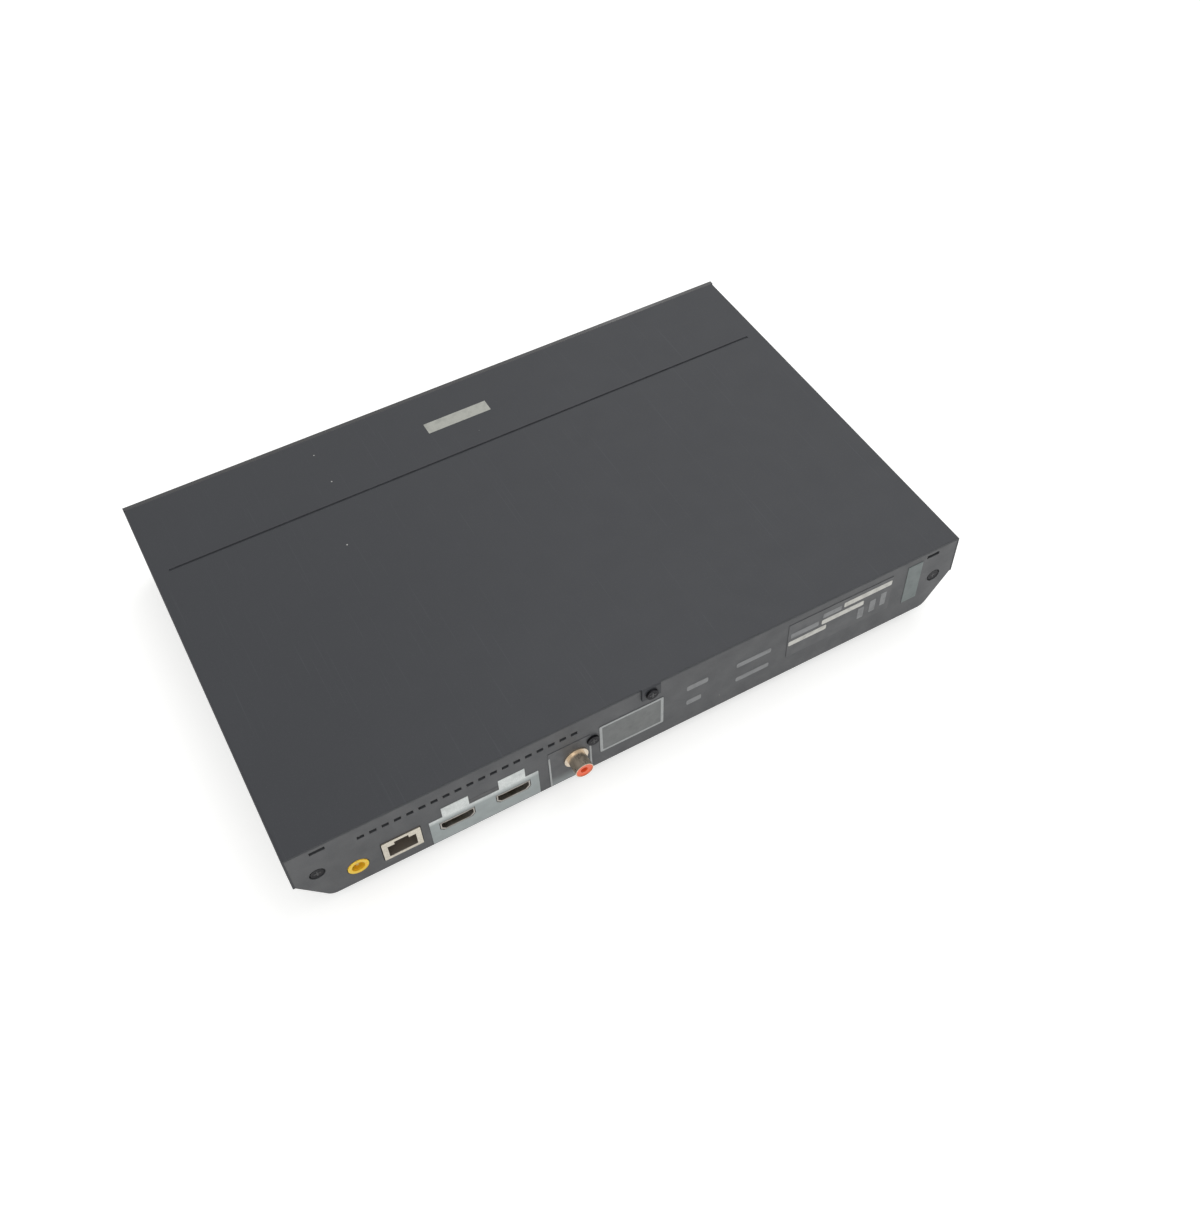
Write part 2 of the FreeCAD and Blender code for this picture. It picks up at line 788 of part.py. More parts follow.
def pan_outline(side, top):
    """Give the outer outline of the casing's lower part, up to a side and a top."""
    return polygon(
        (f"-{PAN_FOOT}", "foot_height"), (PAN_FOOT, "foot_height"), (side, BREAK), (side, top),
        (f"-{side}", top), (f"-{side}", BREAK),
    )


def make_bottom_chassis():
    """Fold the sheet pan and add the posts that carry the boards and the loader."""
    body = new_body("bottom_chassis")
    inner_side = f"({PAN_SIDE} - chassis_sheet)"
    inner_foot = f"({PAN_FOOT} - chassis_sheet / 2)"
    pad(body, "XZ", FACE_BACK, PANEL_FRONT, polygon(
        (f"-{PAN_SIDE}", PAN_TOP), (f"-{PAN_SIDE}", BREAK), (f"-{PAN_FOOT}", "foot_height"),
        (PAN_FOOT, "foot_height"), (PAN_SIDE, BREAK), (PAN_SIDE, PAN_TOP),
        (inner_side, PAN_TOP), (inner_side, BREAK), (inner_foot, PAN_FLOOR),
        (f"-{inner_foot}", PAN_FLOOR), (f"-{inner_side}", BREAK), (f"-{inner_side}", PAN_TOP),
    ))
    round_edges(body, "slant_corner", "Y", (PAN_FOOT, "foot_height"), (f"-{PAN_FOOT}", "foot_height"))
    round_edges(body, "slant_corner - chassis_sheet", "Y",
                (inner_foot, PAN_FLOOR), (f"-{inner_foot}", PAN_FLOOR))
    inside_floor = f"({PAN_FLOOR} - chassis_sheet / 2)"
    pad(body, "XY", inside_floor, "damper_base", *[circle(u, v, "post_radius") for u, v in LOADER_POSTS])
    pocket(body, "XY", PAN_FLOOR, "damper_base", *[circle(u, v, SCREW_HOLE) for u, v in LOADER_POSTS])
    stands = BOARD_POSTS + DRIVE_BOARD_POSTS
    pad(body, "XY", inside_floor, BOARD_BASE, *[circle(u, v, "standoff_radius") for u, v in stands])
    pocket(body, "XY", PAN_FLOOR, BOARD_BASE, *[circle(u, v, SCREW_HOLE) for u, v in stands])
    lug_front = f"({PANEL_FRONT} - screw_length)"
    for hand in ("", "-"):
        inner_edge = f"({hand}(rear_screw_side - standoff_radius * 2))"
        outer_edge = f"({hand}({PAN_SIDE} - chassis_sheet / 2))"
        left, right = (inner_edge, outer_edge) if hand == "" else (outer_edge, inner_edge)
        pad(body, "XZ", lug_front, PANEL_FRONT, rectangle(
            left, right, "rear_screw_level - standoff_radius", "rear_screw_level + standoff_radius"))
        pocket(body, "XZ", lug_front, PANEL_FRONT,
               circle(f"{hand}rear_screw_side", "rear_screw_level", SCREW_HOLE))
    for place in FRONT_BOARD_STANDS:
        pad(body, "XZ", FRONT_BOARD, f"{FRONT_BOARD} + standoff_radius", rectangle(
            f"{place} - standoff_radius", f"{place} + standoff_radius", inside_floor, "front_board_base"))
    vent = pocket(body, "XY", "foot_height", PAN_FLOOR, rectangle(
        "sink_place - sink_side / 2", "sink_place - sink_side / 2 + vent_tall",
        "sink_row - sink_side / 2", "sink_row + sink_side / 2"))
    repeat(body, vent, "H_Axis", "sink_side - vent_tall", "floor(sink_side / vent_pitch) + 1")
    pocket(body, "XY", "foot_height", PAN_FLOOR, *[circle(u, v, PEG_HOLE) for u, v in FEET])


def make_feet():
    """Mould the four rubber feet, each with a peg through the pan."""
    feet = []
    for index, (u, v) in enumerate(FEET, start=1):
        foot = turned(f"foot_{index}", u, v, (
            ("0", "0"), ("foot_radius - foot_edge", "0"), ("foot_radius", "foot_edge"),
            ("foot_radius", "foot_height"), ("foot_peg", "foot_height"),
            ("foot_peg", PAN_FLOOR), ("0", PAN_FLOOR),
        ))
        feet.append(foot)
    group("rubber_feet", *feet)


def make_rear_panel():
    """Mould the rear panel with its vents, screw recesses and jack openings."""
    body = new_body("rear_panel")
    pad(body, "XZ", PANEL_FRONT, REAR, pan_outline(f"({SIDE} - cover_sheet)", f"({COVER_INSIDE} - case_gap)"))
    round_edges(body, "slant_corner", "Y", (PAN_FOOT, "foot_height"), (f"-{PAN_FOOT}", "foot_height"))
    boss_front = f"({PANEL_FRONT} - screw_length + panel_wall)"
    pad(body, "XZ", boss_front, PANEL_FRONT, circle("tab_screw_place", "tab_screw_level", "standoff_radius"))
    pocket(body, "XZ", boss_front, REAR, circle("tab_screw_place", "tab_screw_level", SCREW_HOLE))
    pocket(body, "XZ", PANEL_FRONT, REAR,
           circle("rear_screw_side", "rear_screw_level", SCREW_HOLE),
           circle("-rear_screw_side", "rear_screw_level", SCREW_HOLE),
           circle("jack_screw_place", "jack_screw_level", SCREW_HOLE))
    pocket(body, "XZ", f"{REAR} - rear_recess_deep", REAR,
           circle("rear_screw_side", "rear_screw_level", "rear_screw_recess"),
           circle("-rear_screw_side", "rear_screw_level", "rear_screw_recess"))
    last = "(vent_first - vent_pitch * (vent_count - 1))"
    vent = pocket(body, "XZ", PANEL_FRONT, REAR, rectangle(
        f"{last} - vent_width / 2", f"{last} + vent_width / 2",
        "vent_level - vent_tall / 2", "vent_level + vent_tall / 2"))
    repeat(body, vent, "H_Axis", "vent_pitch * (vent_count - 1)", "vent_count")
    hook_top = "(hook_level + hook_tall / 2)"
    hook_base = "(hook_level - hook_tall / 2)"
    pocket(body, "XZ", PANEL_FRONT, REAR,
           rectangle("hook_inner", "hook_inner + hook_length", hook_base, hook_top),
           rectangle("-hook_inner - hook_length", "-hook_inner", hook_base, hook_top))
    pocket(body, "XZ", PANEL_FRONT, REAR,
           circle("power_place", "power_level", "power_face + cutout_gap"),
           circle("coax_place", "coax_level", "coax_radius + cutout_gap"),
           network_outline("cutout_gap"),
           video_outline("video_first", "video_wall + cutout_gap"),
           video_outline("video_second", "video_wall + cutout_gap"))


def make_front_panel():
    """Mould the front panel with openings for the tray, the socket and the controls."""
    body = new_body("front_panel")
    pad(body, "XZ", FRONT, FACE_BACK, pan_outline(SIDE, "case_height"))
    lip_top = f"({COVER_INSIDE} - case_gap)"
    lip_side = f"({PAN_SIDE} - chassis_sheet - case_gap)"
    lip_floor = f"({PAN_FLOOR} + case_gap)"
    lip_foot = f"({PAN_FOOT} - slant_corner * 2)"
    pad(body, "XZ", FACE_BACK, f"{FACE_BACK} + face_lip",
        rectangle(f"-{lip_side}", lip_side, f"{lip_top} - face_wall / 2", lip_top),
        rectangle(f"-{lip_foot}", lip_foot, lip_floor, f"{lip_floor} + face_wall / 2"))
    pocket(body, "XZ", FRONT, FACE_BACK,
           rectangle("loader_place - door_width / 2 - door_gap", "loader_place + door_width / 2 + door_gap",
                     "door_base - door_gap", "door_top + door_gap"),
           button_outline("power_button_place", "button_gap"),
           button_outline("eject_button_place", "button_gap"),
           usb_outline("usb_wall + cutout_gap"),
           window_outline("case_gap"),
           circle("light_place", "button_level", "light_radius + shaft_slack"))
    round_edges(body, "face_edge", "X", (FRONT, "case_height"), (FRONT, "foot_height"))


# Rear jacks and printed fields

def network_outline(margin):
    """Give the network jack's outer outline, grown by a margin."""
    middle = "(board_level + network_tall / 2)"
    return centred("network_place", middle, "network_width", "network_tall", margin)


def video_outline(place, margin):
    """Give a video socket's mouth, with its lower corners cut, grown by a margin."""
    half = f"(video_mouth / 2 + ({margin}))"
    top = f"(video_level + video_mouth_tall / 2 + ({margin}))"
    base = f"(video_level - video_mouth_tall / 2 - ({margin}))"
    return polygon(
        (f"{place} - {half} + video_taper", base), (f"{place} + {half} - video_taper", base),
        (f"{place} + {half}", f"{base} + video_taper"), (f"{place} + {half}", top),
        (f"{place} - {half}", top), (f"{place} - {half}", f"{base} + video_taper"),
    )


def make_network_jack():
    """Mould the network jack with the cavity and latch notch of its plug."""
    body = new_body("network_jack")
    mouth = f"({REAR} + case_gap)"
    pad(body, "XZ", f"{mouth} - network_deep", mouth, network_outline("0"))
    sill = "(board_level + (network_tall - network_mouth_tall - network_latch_tall) / 2)"
    shelf = f"({sill} + network_mouth_tall)"
    back = f"({mouth} - network_deep + network_back)"
    pocket(body, "XZ", back, mouth, rectangle(
        "network_place - network_mouth / 2", "network_place + network_mouth / 2", sill, shelf))
    pocket(body, "XZ", back, mouth, rectangle(
        "network_place - network_latch / 2", "network_place + network_latch / 2",
        f"{shelf} - case_gap", f"{shelf} + network_latch_tall"))


def make_video_socket(label, place):
    """Fold a video socket's shell, with its tongue, back and two legs."""
    body = new_body(label)
    mouth = f"({REAR} + case_gap)"
    start = f"({mouth} - video_deep)"
    pad(body, "XZ", start, mouth, video_outline(place, "video_wall"))
    pocket(body, "XZ", f"{start} + video_wall * 2", mouth, video_outline(place, "0"))
    pad(body, "XZ", f"{start} + video_wall", f"{mouth} - video_wall * 2", rectangle(
        f"{place} - video_tongue / 2", f"{place} + video_tongue / 2",
        "video_level", "video_level + video_tongue_tall"))
    leg = "(video_mouth / 2 - video_taper)"
    shell_base = "(video_level - video_mouth_tall / 2 - video_wall / 2)"
    pad(body, "XZ", start, f"{start} + video_leg",
        rectangle(f"{place} - {leg}", f"{place} - {leg} + video_leg", "board_level", shell_base),
        rectangle(f"{place} + {leg} - video_leg", f"{place} + {leg}", "board_level", shell_base))


def make_coax_jack():
    """Mould the coaxial jack's block, its metal sleeve and its coloured insert."""
    block_body = new_body("coax_block")
    start = f"({PANEL_FRONT} - coax_block)"
    pad(block_body, "XZ", start, PANEL_FRONT,
        rectangle("coax_place - coax_block / 2", "coax_place + coax_block / 2",
                  "board_level", "coax_level + coax_block / 2"))
    pad(block_body, "XZ", start, PANEL_FRONT,
        rectangle("jack_screw_place - standoff_radius", "coax_place",
                  "jack_screw_level - standoff_radius", "jack_screw_level + standoff_radius"))
    pocket(block_body, "XZ", start, PANEL_FRONT, circle("jack_screw_place", "jack_screw_level", SCREW_HOLE))
    sleeve = new_body("coax_sleeve")
    tip = f"({REAR} + coax_reach)"
    pad(sleeve, "XZ", PANEL_FRONT, tip,
        circle("coax_place", "coax_level", "coax_radius"),
        circle("coax_place", "coax_level", "coax_radius - coax_wall"))
    flange = f"({REAR} + print_skin)"
    pad(sleeve, "XZ", flange, f"{flange} + coax_wall * 2",
        circle("coax_place", "coax_level", "coax_flange"),
        circle("coax_place", "coax_level", "coax_radius - coax_wall"))
    insert = new_body("coax_insert")
    pad(insert, "XZ", PANEL_FRONT, f"{tip} - coax_wall",
        circle("coax_place", "coax_level", "coax_radius - coax_wall"))
    pocket(insert, "XZ", f"{REAR}", f"{tip} - coax_wall", circle("coax_place", "coax_level", "coax_bore"))


def make_power_jack():
    """Mould the power jack's block, its coloured insert and its centre pin."""
    body = new_body("power_jack")
    start = f"({PANEL_FRONT} - power_deep)"
    half = "(power_face + power_wall)"
    mouth = f"({REAR} + case_gap)"
    pad(body, "XZ", start, PANEL_FRONT,
        rectangle(f"power_place - {half}", f"power_place + {half}", "board_level", f"power_level + {half}"))
    pocket(body, "XZ", f"{mouth} - power_deep", PANEL_FRONT,
           circle("power_place", "power_level", "power_face"))
    insert = new_body("power_insert")
    pad(insert, "XZ", f"{mouth} - power_deep", mouth, circle("power_place", "power_level", "power_face"))
    pocket(insert, "XZ", f"{mouth} - power_deep + power_wall", mouth,
           circle("power_place", "power_level", "power_bore"))
    pin = rod("power_pin", "Y", ("power_place", "power_level"), "power_pin",
              f"{mouth} - power_deep + power_wall", f"{REAR} - power_wall")
    keep(pin, "power_centre_pin")


def make_printed_fields():
    """Lay the thin printed fields and blank labels on the rear panel."""
    skin = (REAR, f"({REAR} + print_skin)")
    bump_left = "(video_second - video_bump / 2)"
    bump_mid = "(video_second + video_bump / 2)"
    bump_next = "(video_first - video_bump / 2)"
    bump_right = "(video_first + video_bump / 2)"
    field = new_body("video_field")
    pad(field, "XZ", *skin, polygon(
        ("video_field_left", "print_base"), ("video_field_right", "print_base"),
        ("video_field_right", "video_field_step"), (bump_right, "video_field_step"),
        (bump_right, "video_field_top"), (bump_next, "video_field_top"),
        (bump_next, "video_field_step"), (bump_mid, "video_field_step"),
        (bump_mid, "video_field_top"), (bump_left, "video_field_top"),
        (bump_left, "video_field_step"), ("video_field_left", "video_field_step"),
    ))
    pocket(field, "XZ", *skin,
           video_outline("video_first", "video_wall + cutout_gap"),
           video_outline("video_second", "video_wall + cutout_gap"))
    coax = new_body("coax_field")
    pad(coax, "XZ", *skin, rectangle(
        "coax_field_left", "coax_field_right", "print_base", "coax_field_top"))
    pocket(coax, "XZ", *skin,
           circle("coax_place", "coax_level", "coax_radius + cutout_gap"))
    pocket(coax, "XZ", *skin, circle("jack_screw_place", "jack_screw_level", "screw_head + case_gap"))
    blank = new_body("blank_label")
    pad(blank, "XZ", *skin, rectangle("blank_left", "blank_right", "blank_base", "blank_top"))
    rating = block("rating_plate", "rating_left", "rating_right", *skin, "rating_base", "rating_top")
    patch = block("patch_plate", "patch_left", "patch_right", *skin, "patch_base", "patch_top")
    group("rating_labels", rating, patch)


def make_rear_screws():
    """Drive the four screws of the rear face."""
    recess = f"({REAR} - rear_recess_deep)"
    group("rear_screws",
          screw("rear_screw_1", "Y", ("rear_screw_side", "rear_screw_level"), recess),
          screw("rear_screw_2", "Y", ("-rear_screw_side", "rear_screw_level"), recess),
          screw("rear_screw_3", "Y", ("tab_screw_place", "tab_screw_level"), f"({REAR} + cover_sheet)"),
          screw("rear_screw_4", "Y", ("jack_screw_place", "jack_screw_level"), REAR))


# Front controls

def button_outline(place, margin):
    """Give a button's outline, grown by a margin."""
    return centred(place, "button_level", "button_width", "button_tall", margin)


def usb_outline(margin):
    """Give the USB socket's mouth, grown by a margin."""
    return centred("usb_place", "button_level", "usb_mouth", "usb_mouth_tall", margin)


def window_outline(margin):
    """Give the sensor window's outline, grown by a margin."""
    return centred("window_place", "button_level", "window_width", "window_tall", margin)


def make_tray_door():
    """Mould the narrow door that closes the tray's opening."""
    body = new_body("tray_door")
    pad(body, "XZ", FRONT, FACE_BACK, rectangle(
        "loader_place - door_width / 2", "loader_place + door_width / 2", "door_base", "door_top"))
    round_edges(body, "door_edge", "X", (FRONT, "door_top"), (FRONT, "door_base"))


def make_button(label, place):
    """Mould a front button with its flange and the stem that meets the switch."""
    body = new_body(label)
    cap_front = f"({FRONT} + button_inset)"
    flange = f"({FACE_BACK} + seat_gap)"
    pad(body, "XZ", cap_front, flange, button_outline(place, "0"))
    pad(body, "XZ", flange, f"{flange} + button_flange", button_outline(place, "button_flange"))
    pad(body, "XZ", f"{flange} + button_flange", PLUNGER_TIP, circle(place, "button_level", "button_stem"))
    round_edges(body, "button_edge", "X",
                (cap_front, "button_level + button_tall / 2"), (cap_front, "button_level - button_tall / 2"))


def make_plunger(label, place):
    """Turn the plunger that a button presses into its switch."""
    tail = f"({SWITCH_FACE} + plunger_seat)"
    keep(rod(label, "Y", (place, "button_level"), "plunger_radius", PLUNGER_TIP, tail), label)


def make_switches():
    """Mould the two switch bodies on the front board."""
    switches = []
    for index, place in enumerate(("power_button_place", "eject_button_place"), start=1):
        case = block(f"switch_case_{index}",
                     f"{place} - switch_side / 2", f"{place} + switch_side / 2", SWITCH_FACE, FRONT_BOARD,
                     "button_level - switch_side / 2", "button_level + switch_side / 2")
        well = rod(f"switch_well_{index}", "Y", (place, "button_level"), "plunger_radius + shaft_slack",
                   SWITCH_FACE, f"{SWITCH_FACE} + plunger_seat + button_travel + shaft_slack")
        switches.append(cut(f"switch_{index}", case, well))
    group("switch_bodies", *switches)


def make_front_controls():
    """Make the front board with its socket, window and light pipe."""
    board = new_body("front_board")
    pad(board, "XZ", FRONT_BOARD, f"{FRONT_BOARD} + front_board_wall", rectangle(
        "front_board_left", "front_board_right", "front_board_base", "front_board_top"))
    socket = new_body("usb_socket")
    mouth = f"({FRONT} + button_inset)"
    back = f"({FRONT_BOARD} - usb_wall * 3)"
    pad(socket, "XZ", mouth, FRONT_BOARD, usb_outline("usb_wall"))
    pocket(socket, "XZ", mouth, back, usb_outline("0"))
    pad(socket, "XZ", f"{mouth} + usb_wall * 2", f"{back} + usb_wall", rectangle(
        "usb_place - usb_mouth / 2 + usb_wall", "usb_place + usb_mouth / 2 - usb_wall",
        "button_level", "button_level + usb_tongue"))
    window = new_body("sensor_window")
    pad(window, "XZ", f"{FRONT} + button_inset", FACE_BACK, window_outline("0"))
    pad(window, "XZ", FACE_BACK, f"{FACE_BACK} + button_flange", window_outline("button_flange"))
    keep(rod("light_guide", "Y", ("light_place", "button_level"), "light_radius",
             f"{FRONT} + button_inset", FRONT_BOARD), "light_pipe")


# Boards

def make_main_board():
    """Cut the main board and the drive board, with their screw holes."""
    board = new_body("main_board")
    pad(board, "XY", BOARD_BASE, "board_level",
        rectangle("board_left", "board_right", "board_front", BOARD_REAR),
        *[circle(u, v, SCREW_HOLE) for u, v in BOARD_POSTS])
    drive = new_body("drive_board")
    pad(drive, "XY", BOARD_BASE, "board_level",
        rectangle("board_left", DRIVE_BOARD_RIGHT,
                  f"{DRIVE_BOARD_REAR} - drive_board_long", DRIVE_BOARD_REAR),
        *[circle(u, v, SCREW_HOLE) for u, v in DRIVE_BOARD_POSTS])


def make_board_parts():
    """Place the heat sink, chips, capacitors and wireless module on the main board."""
    chip_top = "(board_level + chip_tall)"
    sink = new_body("heat_sink")
    half = "(sink_side / 2)"
    fin_base = f"({chip_top} + sink_base)"
    pad(sink, "XY", chip_top, fin_base, rectangle(
        f"sink_place - {half}", f"sink_place + {half}", f"sink_row - {half}", f"sink_row + {half}"))
    fin = pad(sink, "XY", fin_base, f"{fin_base} + sink_fin_tall", rectangle(
        f"sink_place - {half}", f"sink_place - {half} + sink_fin",
        f"sink_row - {half}", f"sink_row + {half}"))
    repeat(sink, fin, "H_Axis", "sink_side - sink_fin", "sink_fin_count")
    chips = [block("main_chip", "sink_place - chip_side", "sink_place + chip_side",
                   "sink_row - chip_side", "sink_row + chip_side", "board_level", chip_top)]
    for index in range(4):
        low = f"(sink_row - {half} + {index} * chip_pitch)"
        chips.append(block(f"memory_chip_{index + 1}", f"sink_place + {half} + chip_gap",
                           f"sink_place + {half} + chip_gap + chip_side",
                           low, f"{low} + chip_pitch - chip_gap", "board_level", chip_top))
    group("board_chips", *chips)
    cans = []
    for index in range(3):
        row = f"(sink_row + {half} - {index} * (capacitor_radius * 2 + chip_gap))"
        cans.append(rod(f"capacitor_{index + 1}", "Z", ("capacitor_place", row), "capacitor_radius",
                        "board_level", "board_level + capacitor_tall"))
    group("capacitors", *cans)
    radio_left = "(radio_place - radio_width / 2)"
    radio_right = "(radio_place + radio_width / 2)"
    radio_front = "(radio_row - radio_length / 2)"
    radio_board = block("radio_board", radio_left, radio_right,
                        radio_front, "radio_row + radio_length / 2", "board_level", chip_top)
    shield = block("radio_shield", f"{radio_left} + chip_gap", f"{radio_right} - chip_gap",
                   f"{radio_front} + chip_gap", "radio_row + radio_length / 4",
                   chip_top, f"{chip_top} + chip_tall")
    keep(fuse("radio", radio_board, shield), "radio_module")


def strip(label, left, right, path):
    """Bend a flat cable along a path of rows and levels, a sheet thick and a cable wide."""
    upper = [(u, f"({v}) + flat_cable_wall") for u, v in reversed(path)]
    body = new_body(label)
    pad(body, "YZ", left, right, polygon(*path, *upper))


def make_flat_cables():
    """Make the flat cables and the four sockets that they run between."""
    reach = "cable_socket_deep"
    drop = "cable_drop"
    floor = f"({PAN_FLOOR} + seat_gap)"
    slit = "(board_level + cable_socket_tall / 2)"
    on_board = ("board_level", "board_level + cable_socket_tall")
    drive_left = f"((board_left + {DRIVE_BOARD_RIGHT} - flat_cable_width) / 2)"
    front_left = "(sink_place + sink_side / 2)"
    drive_span = (drive_left, f"{drive_left} + flat_cable_width")
    front_span = (front_left, f"{front_left} + flat_cable_width")
    back = f"({FRONT_BOARD} + front_board_wall)"
    plug_back = f"({back} + cable_socket_tall)"
    plug_level = "(front_board_base + cable_socket_deep)"
    plug_slit = f"({plug_level} + {reach} / 2)"
    drive_edge = (f"{DRIVE_BOARD_REAR} - {reach}", DRIVE_BOARD_REAR)
    board_edge = ("board_front", f"board_front + {reach}")
    plug = (plug_level, f"{plug_level} + {reach}")
    group("cable_sockets",
          cable_socket("cable_socket_1", drive_span, drive_edge, on_board),
          cable_socket("cable_socket_2", drive_span, board_edge, on_board),
          cable_socket("cable_socket_3", front_span, board_edge, on_board),
          cable_socket("cable_socket_4", front_span, (back, plug_back), plug))
    board_end = [(f"board_front - {drop}", floor), (f"board_front - {drop} / 2", slit), ("board_front", slit)]
    strip("drive_flat_cable", *drive_span, [
        (DRIVE_BOARD_REAR, slit), (f"{DRIVE_BOARD_REAR} + {drop} / 2", slit),
        (f"{DRIVE_BOARD_REAR} + {drop}", floor), *board_end])
    strip("front_flat_cable", *front_span, [
        (plug_back, plug_slit), (f"{plug_back} + {drop} / 2", plug_slit), (f"{plug_back} + {drop}", floor),
        *board_end])


def cable_socket(name, across, along, up):
    """Make one socket for a flat cable, a little wider than the cable."""
    left, right = across
    return block(name, f"{left} - case_gap", f"{right} + case_gap", *along, *up)


# Loader

def make_loader_chassis():
    """Mould the loader's floor, walls, ledges, hooks, ears and shaft posts."""
    body = new_body("loader_chassis")
    left_out = place_x(f"-{LOADER_OUT}")
    left_in = place_x(f"-{LOADER_IN}")
    right_in = place_x(LOADER_IN)
    right_out = place_x(LOADER_OUT)
    pad(body, "XY", "loader_floor", LOADER_DECK,
        rectangle(left_out, right_out, LOADER_FRONT, LOADER_REAR),
        rectangle(place_x("-window_half - shaft_margin"), place_x("window_half + shaft_margin"),
                  place_y("-spindle_motor_radius - shaft_margin"), place_y("window_rear + shaft_margin")))
    inside_floor = f"({LOADER_DECK} - loader_floor_wall / 2)"
    pad(body, "XY", inside_floor, "loader_top",
        rectangle(left_out, left_in, LOADER_FRONT, LOADER_REAR),
        rectangle(right_in, right_out, LOADER_FRONT, LOADER_REAR))
    inside_left = f"({left_in} - loader_wall / 2)"
    inside_right = f"({right_in} + loader_wall / 2)"
    inside_rear = f"({LOADER_REAR} - loader_wall / 2)"
    pad(body, "XY", inside_floor, "loader_sill",
        rectangle(inside_left, inside_right, LOADER_FRONT, f"{LOADER_FRONT} + loader_wall"))
    pad(body, "XY", inside_floor, "loader_top",
        rectangle(inside_left, inside_right, f"{LOADER_REAR} - loader_wall", LOADER_REAR))
    ledge_top = "(tray_base - tray_lift_gap)"
    pad(body, "XY", f"{ledge_top} - ledge_wall", ledge_top,
        rectangle(inside_left, f"{left_in} + ledge_width", LOADER_FRONT, inside_rear),
        rectangle(f"{right_in} - ledge_width", inside_right, LOADER_FRONT, inside_rear))
    hook_base = "(tray_top + tray_lift_gap)"
    pad(body, "XY", hook_base, f"{hook_base} + ledge_wall",
        rectangle(inside_left, f"{left_in} + hook_reach", LOADER_FRONT, f"{LOADER_FRONT} + ear_front"),
        rectangle(f"{right_in} - hook_reach", inside_right, LOADER_FRONT, f"{LOADER_FRONT} + ear_front"))
    ear_base = "(damper_base + damper_tall)"
    ear_top = f"({ear_base} + ear_wall)"
    for row in POST_ROWS:
        edges = (f"{row} - damper_radius", f"{row} + damper_radius")
        pad(body, "XY", ear_base, ear_top,
            rectangle(f"{POST_LEFT} - damper_radius", inside_left, *edges),
            rectangle(inside_right, f"{POST_RIGHT} + damper_radius", *edges))
    pocket(body, "XY", ear_base, ear_top, *[circle(u, v, SCREW_HOLE) for u, v in LOADER_POSTS])
    boss_base = "(loader_top - screw_length - ear_wall)"
    pad(body, "XY", boss_base, "loader_top", *[circle(u, v, "boss_radius") for u, v in BRIDGE_BOSSES])
    pocket(body, "XY", boss_base, "loader_top", *[circle(u, v, SCREW_HOLE) for u, v in BRIDGE_BOSSES])
    shaft_top = "(gear_base + gear_tall)"
    pad(body, "XY", inside_floor, shaft_top,
        circle(DRIVE_PLACE, GEAR_ROW, "gear_shaft"), circle(PULLEY_PLACE, GEAR_ROW, "gear_shaft"))
    pad(body, "XY", inside_floor, "gear_base - seat_gap",
        circle(DRIVE_PLACE, GEAR_ROW, "gear_shaft + gear_step"))
    pad(body, "XY", inside_floor, "pulley_base - seat_gap",
        circle(PULLEY_PLACE, GEAR_ROW, "gear_shaft + gear_step"))
    guide_top = f"({LOADER_DECK} + guide_tall)"
    guide_front = f"({SLIDER_FRONT} - seat_gap)"
    guide_rear = f"({SLIDER_REAR} + seat_gap)"
    pad(body, "XY", inside_floor, guide_top,
        rectangle(place_x("-slider_half"), place_x("slider_half + slider_travel"),
                  f"{guide_front} - guide_wall", guide_front),
        rectangle(place_x("-guide_stub"), place_x("guide_stub"), guide_rear, f"{guide_rear} + guide_wall"))
    ear_near = "(traverse_half + case_gap * 2)"
    ear_far = f"({ear_near} + pivot_ear)"
    bearing_row = (f"{PIVOT_ROW} - pivot_radius * 2", f"{PIVOT_ROW} + pivot_radius * 2")
    pad(body, "XY", inside_floor, f"{PIVOT_LEVEL} + pivot_radius * 2",
        rectangle(place_x(f"-{ear_far}"), place_x(f"-{ear_near}"), *bearing_row),
        rectangle(place_x(ear_near), place_x(ear_far), *bearing_row))
    pocket(body, "YZ", place_x(f"-{ear_far}"), place_x(f"-{ear_near}"),
           circle(PIVOT_ROW, PIVOT_LEVEL, "pivot_radius + shaft_slack"))
    pocket(body, "YZ", place_x(ear_near), place_x(ear_far),
           circle(PIVOT_ROW, PIVOT_LEVEL, "pivot_radius + shaft_slack"))


def make_dampers():
    """Mould the rubber dampers between the posts and the loader's ears."""
    dampers = []
    span = ("damper_base", "damper_base + damper_tall")
    for index, place in enumerate(LOADER_POSTS, start=1):
        ring = rod(f"damper_ring_{index}", "Z", place, "damper_radius", *span)
        hole = rod(f"damper_hole_{index}", "Z", place, SCREW_HOLE, *span)
        dampers.append(cut(f"damper_{index}", ring, hole))
    group("loader_dampers", *dampers)


def make_inner_screws():
    """Drive the screws of the boards, the loader and the clamp bridge."""
    screws = []
    for index, (u, v) in enumerate(BOARD_POSTS + DRIVE_BOARD_POSTS, start=1):
        screws.append(screw(f"board_screw_{index}", "Z", (u, v), "board_level", "board_screw_length"))
    for index, (u, v) in enumerate(LOADER_POSTS, start=1):
        seat = "(damper_base + damper_tall + ear_wall)"
        screws.append(screw(f"loader_screw_{index}", "Z", (u, v), seat, "loader_screw_length"))
    for index, (u, v) in enumerate(BRIDGE_BOSSES, start=1):
        screws.append(screw(f"bridge_screw_{index}", "Z", (u, v), "loader_top + bridge_sheet"))
    group("inner_screws", *screws)


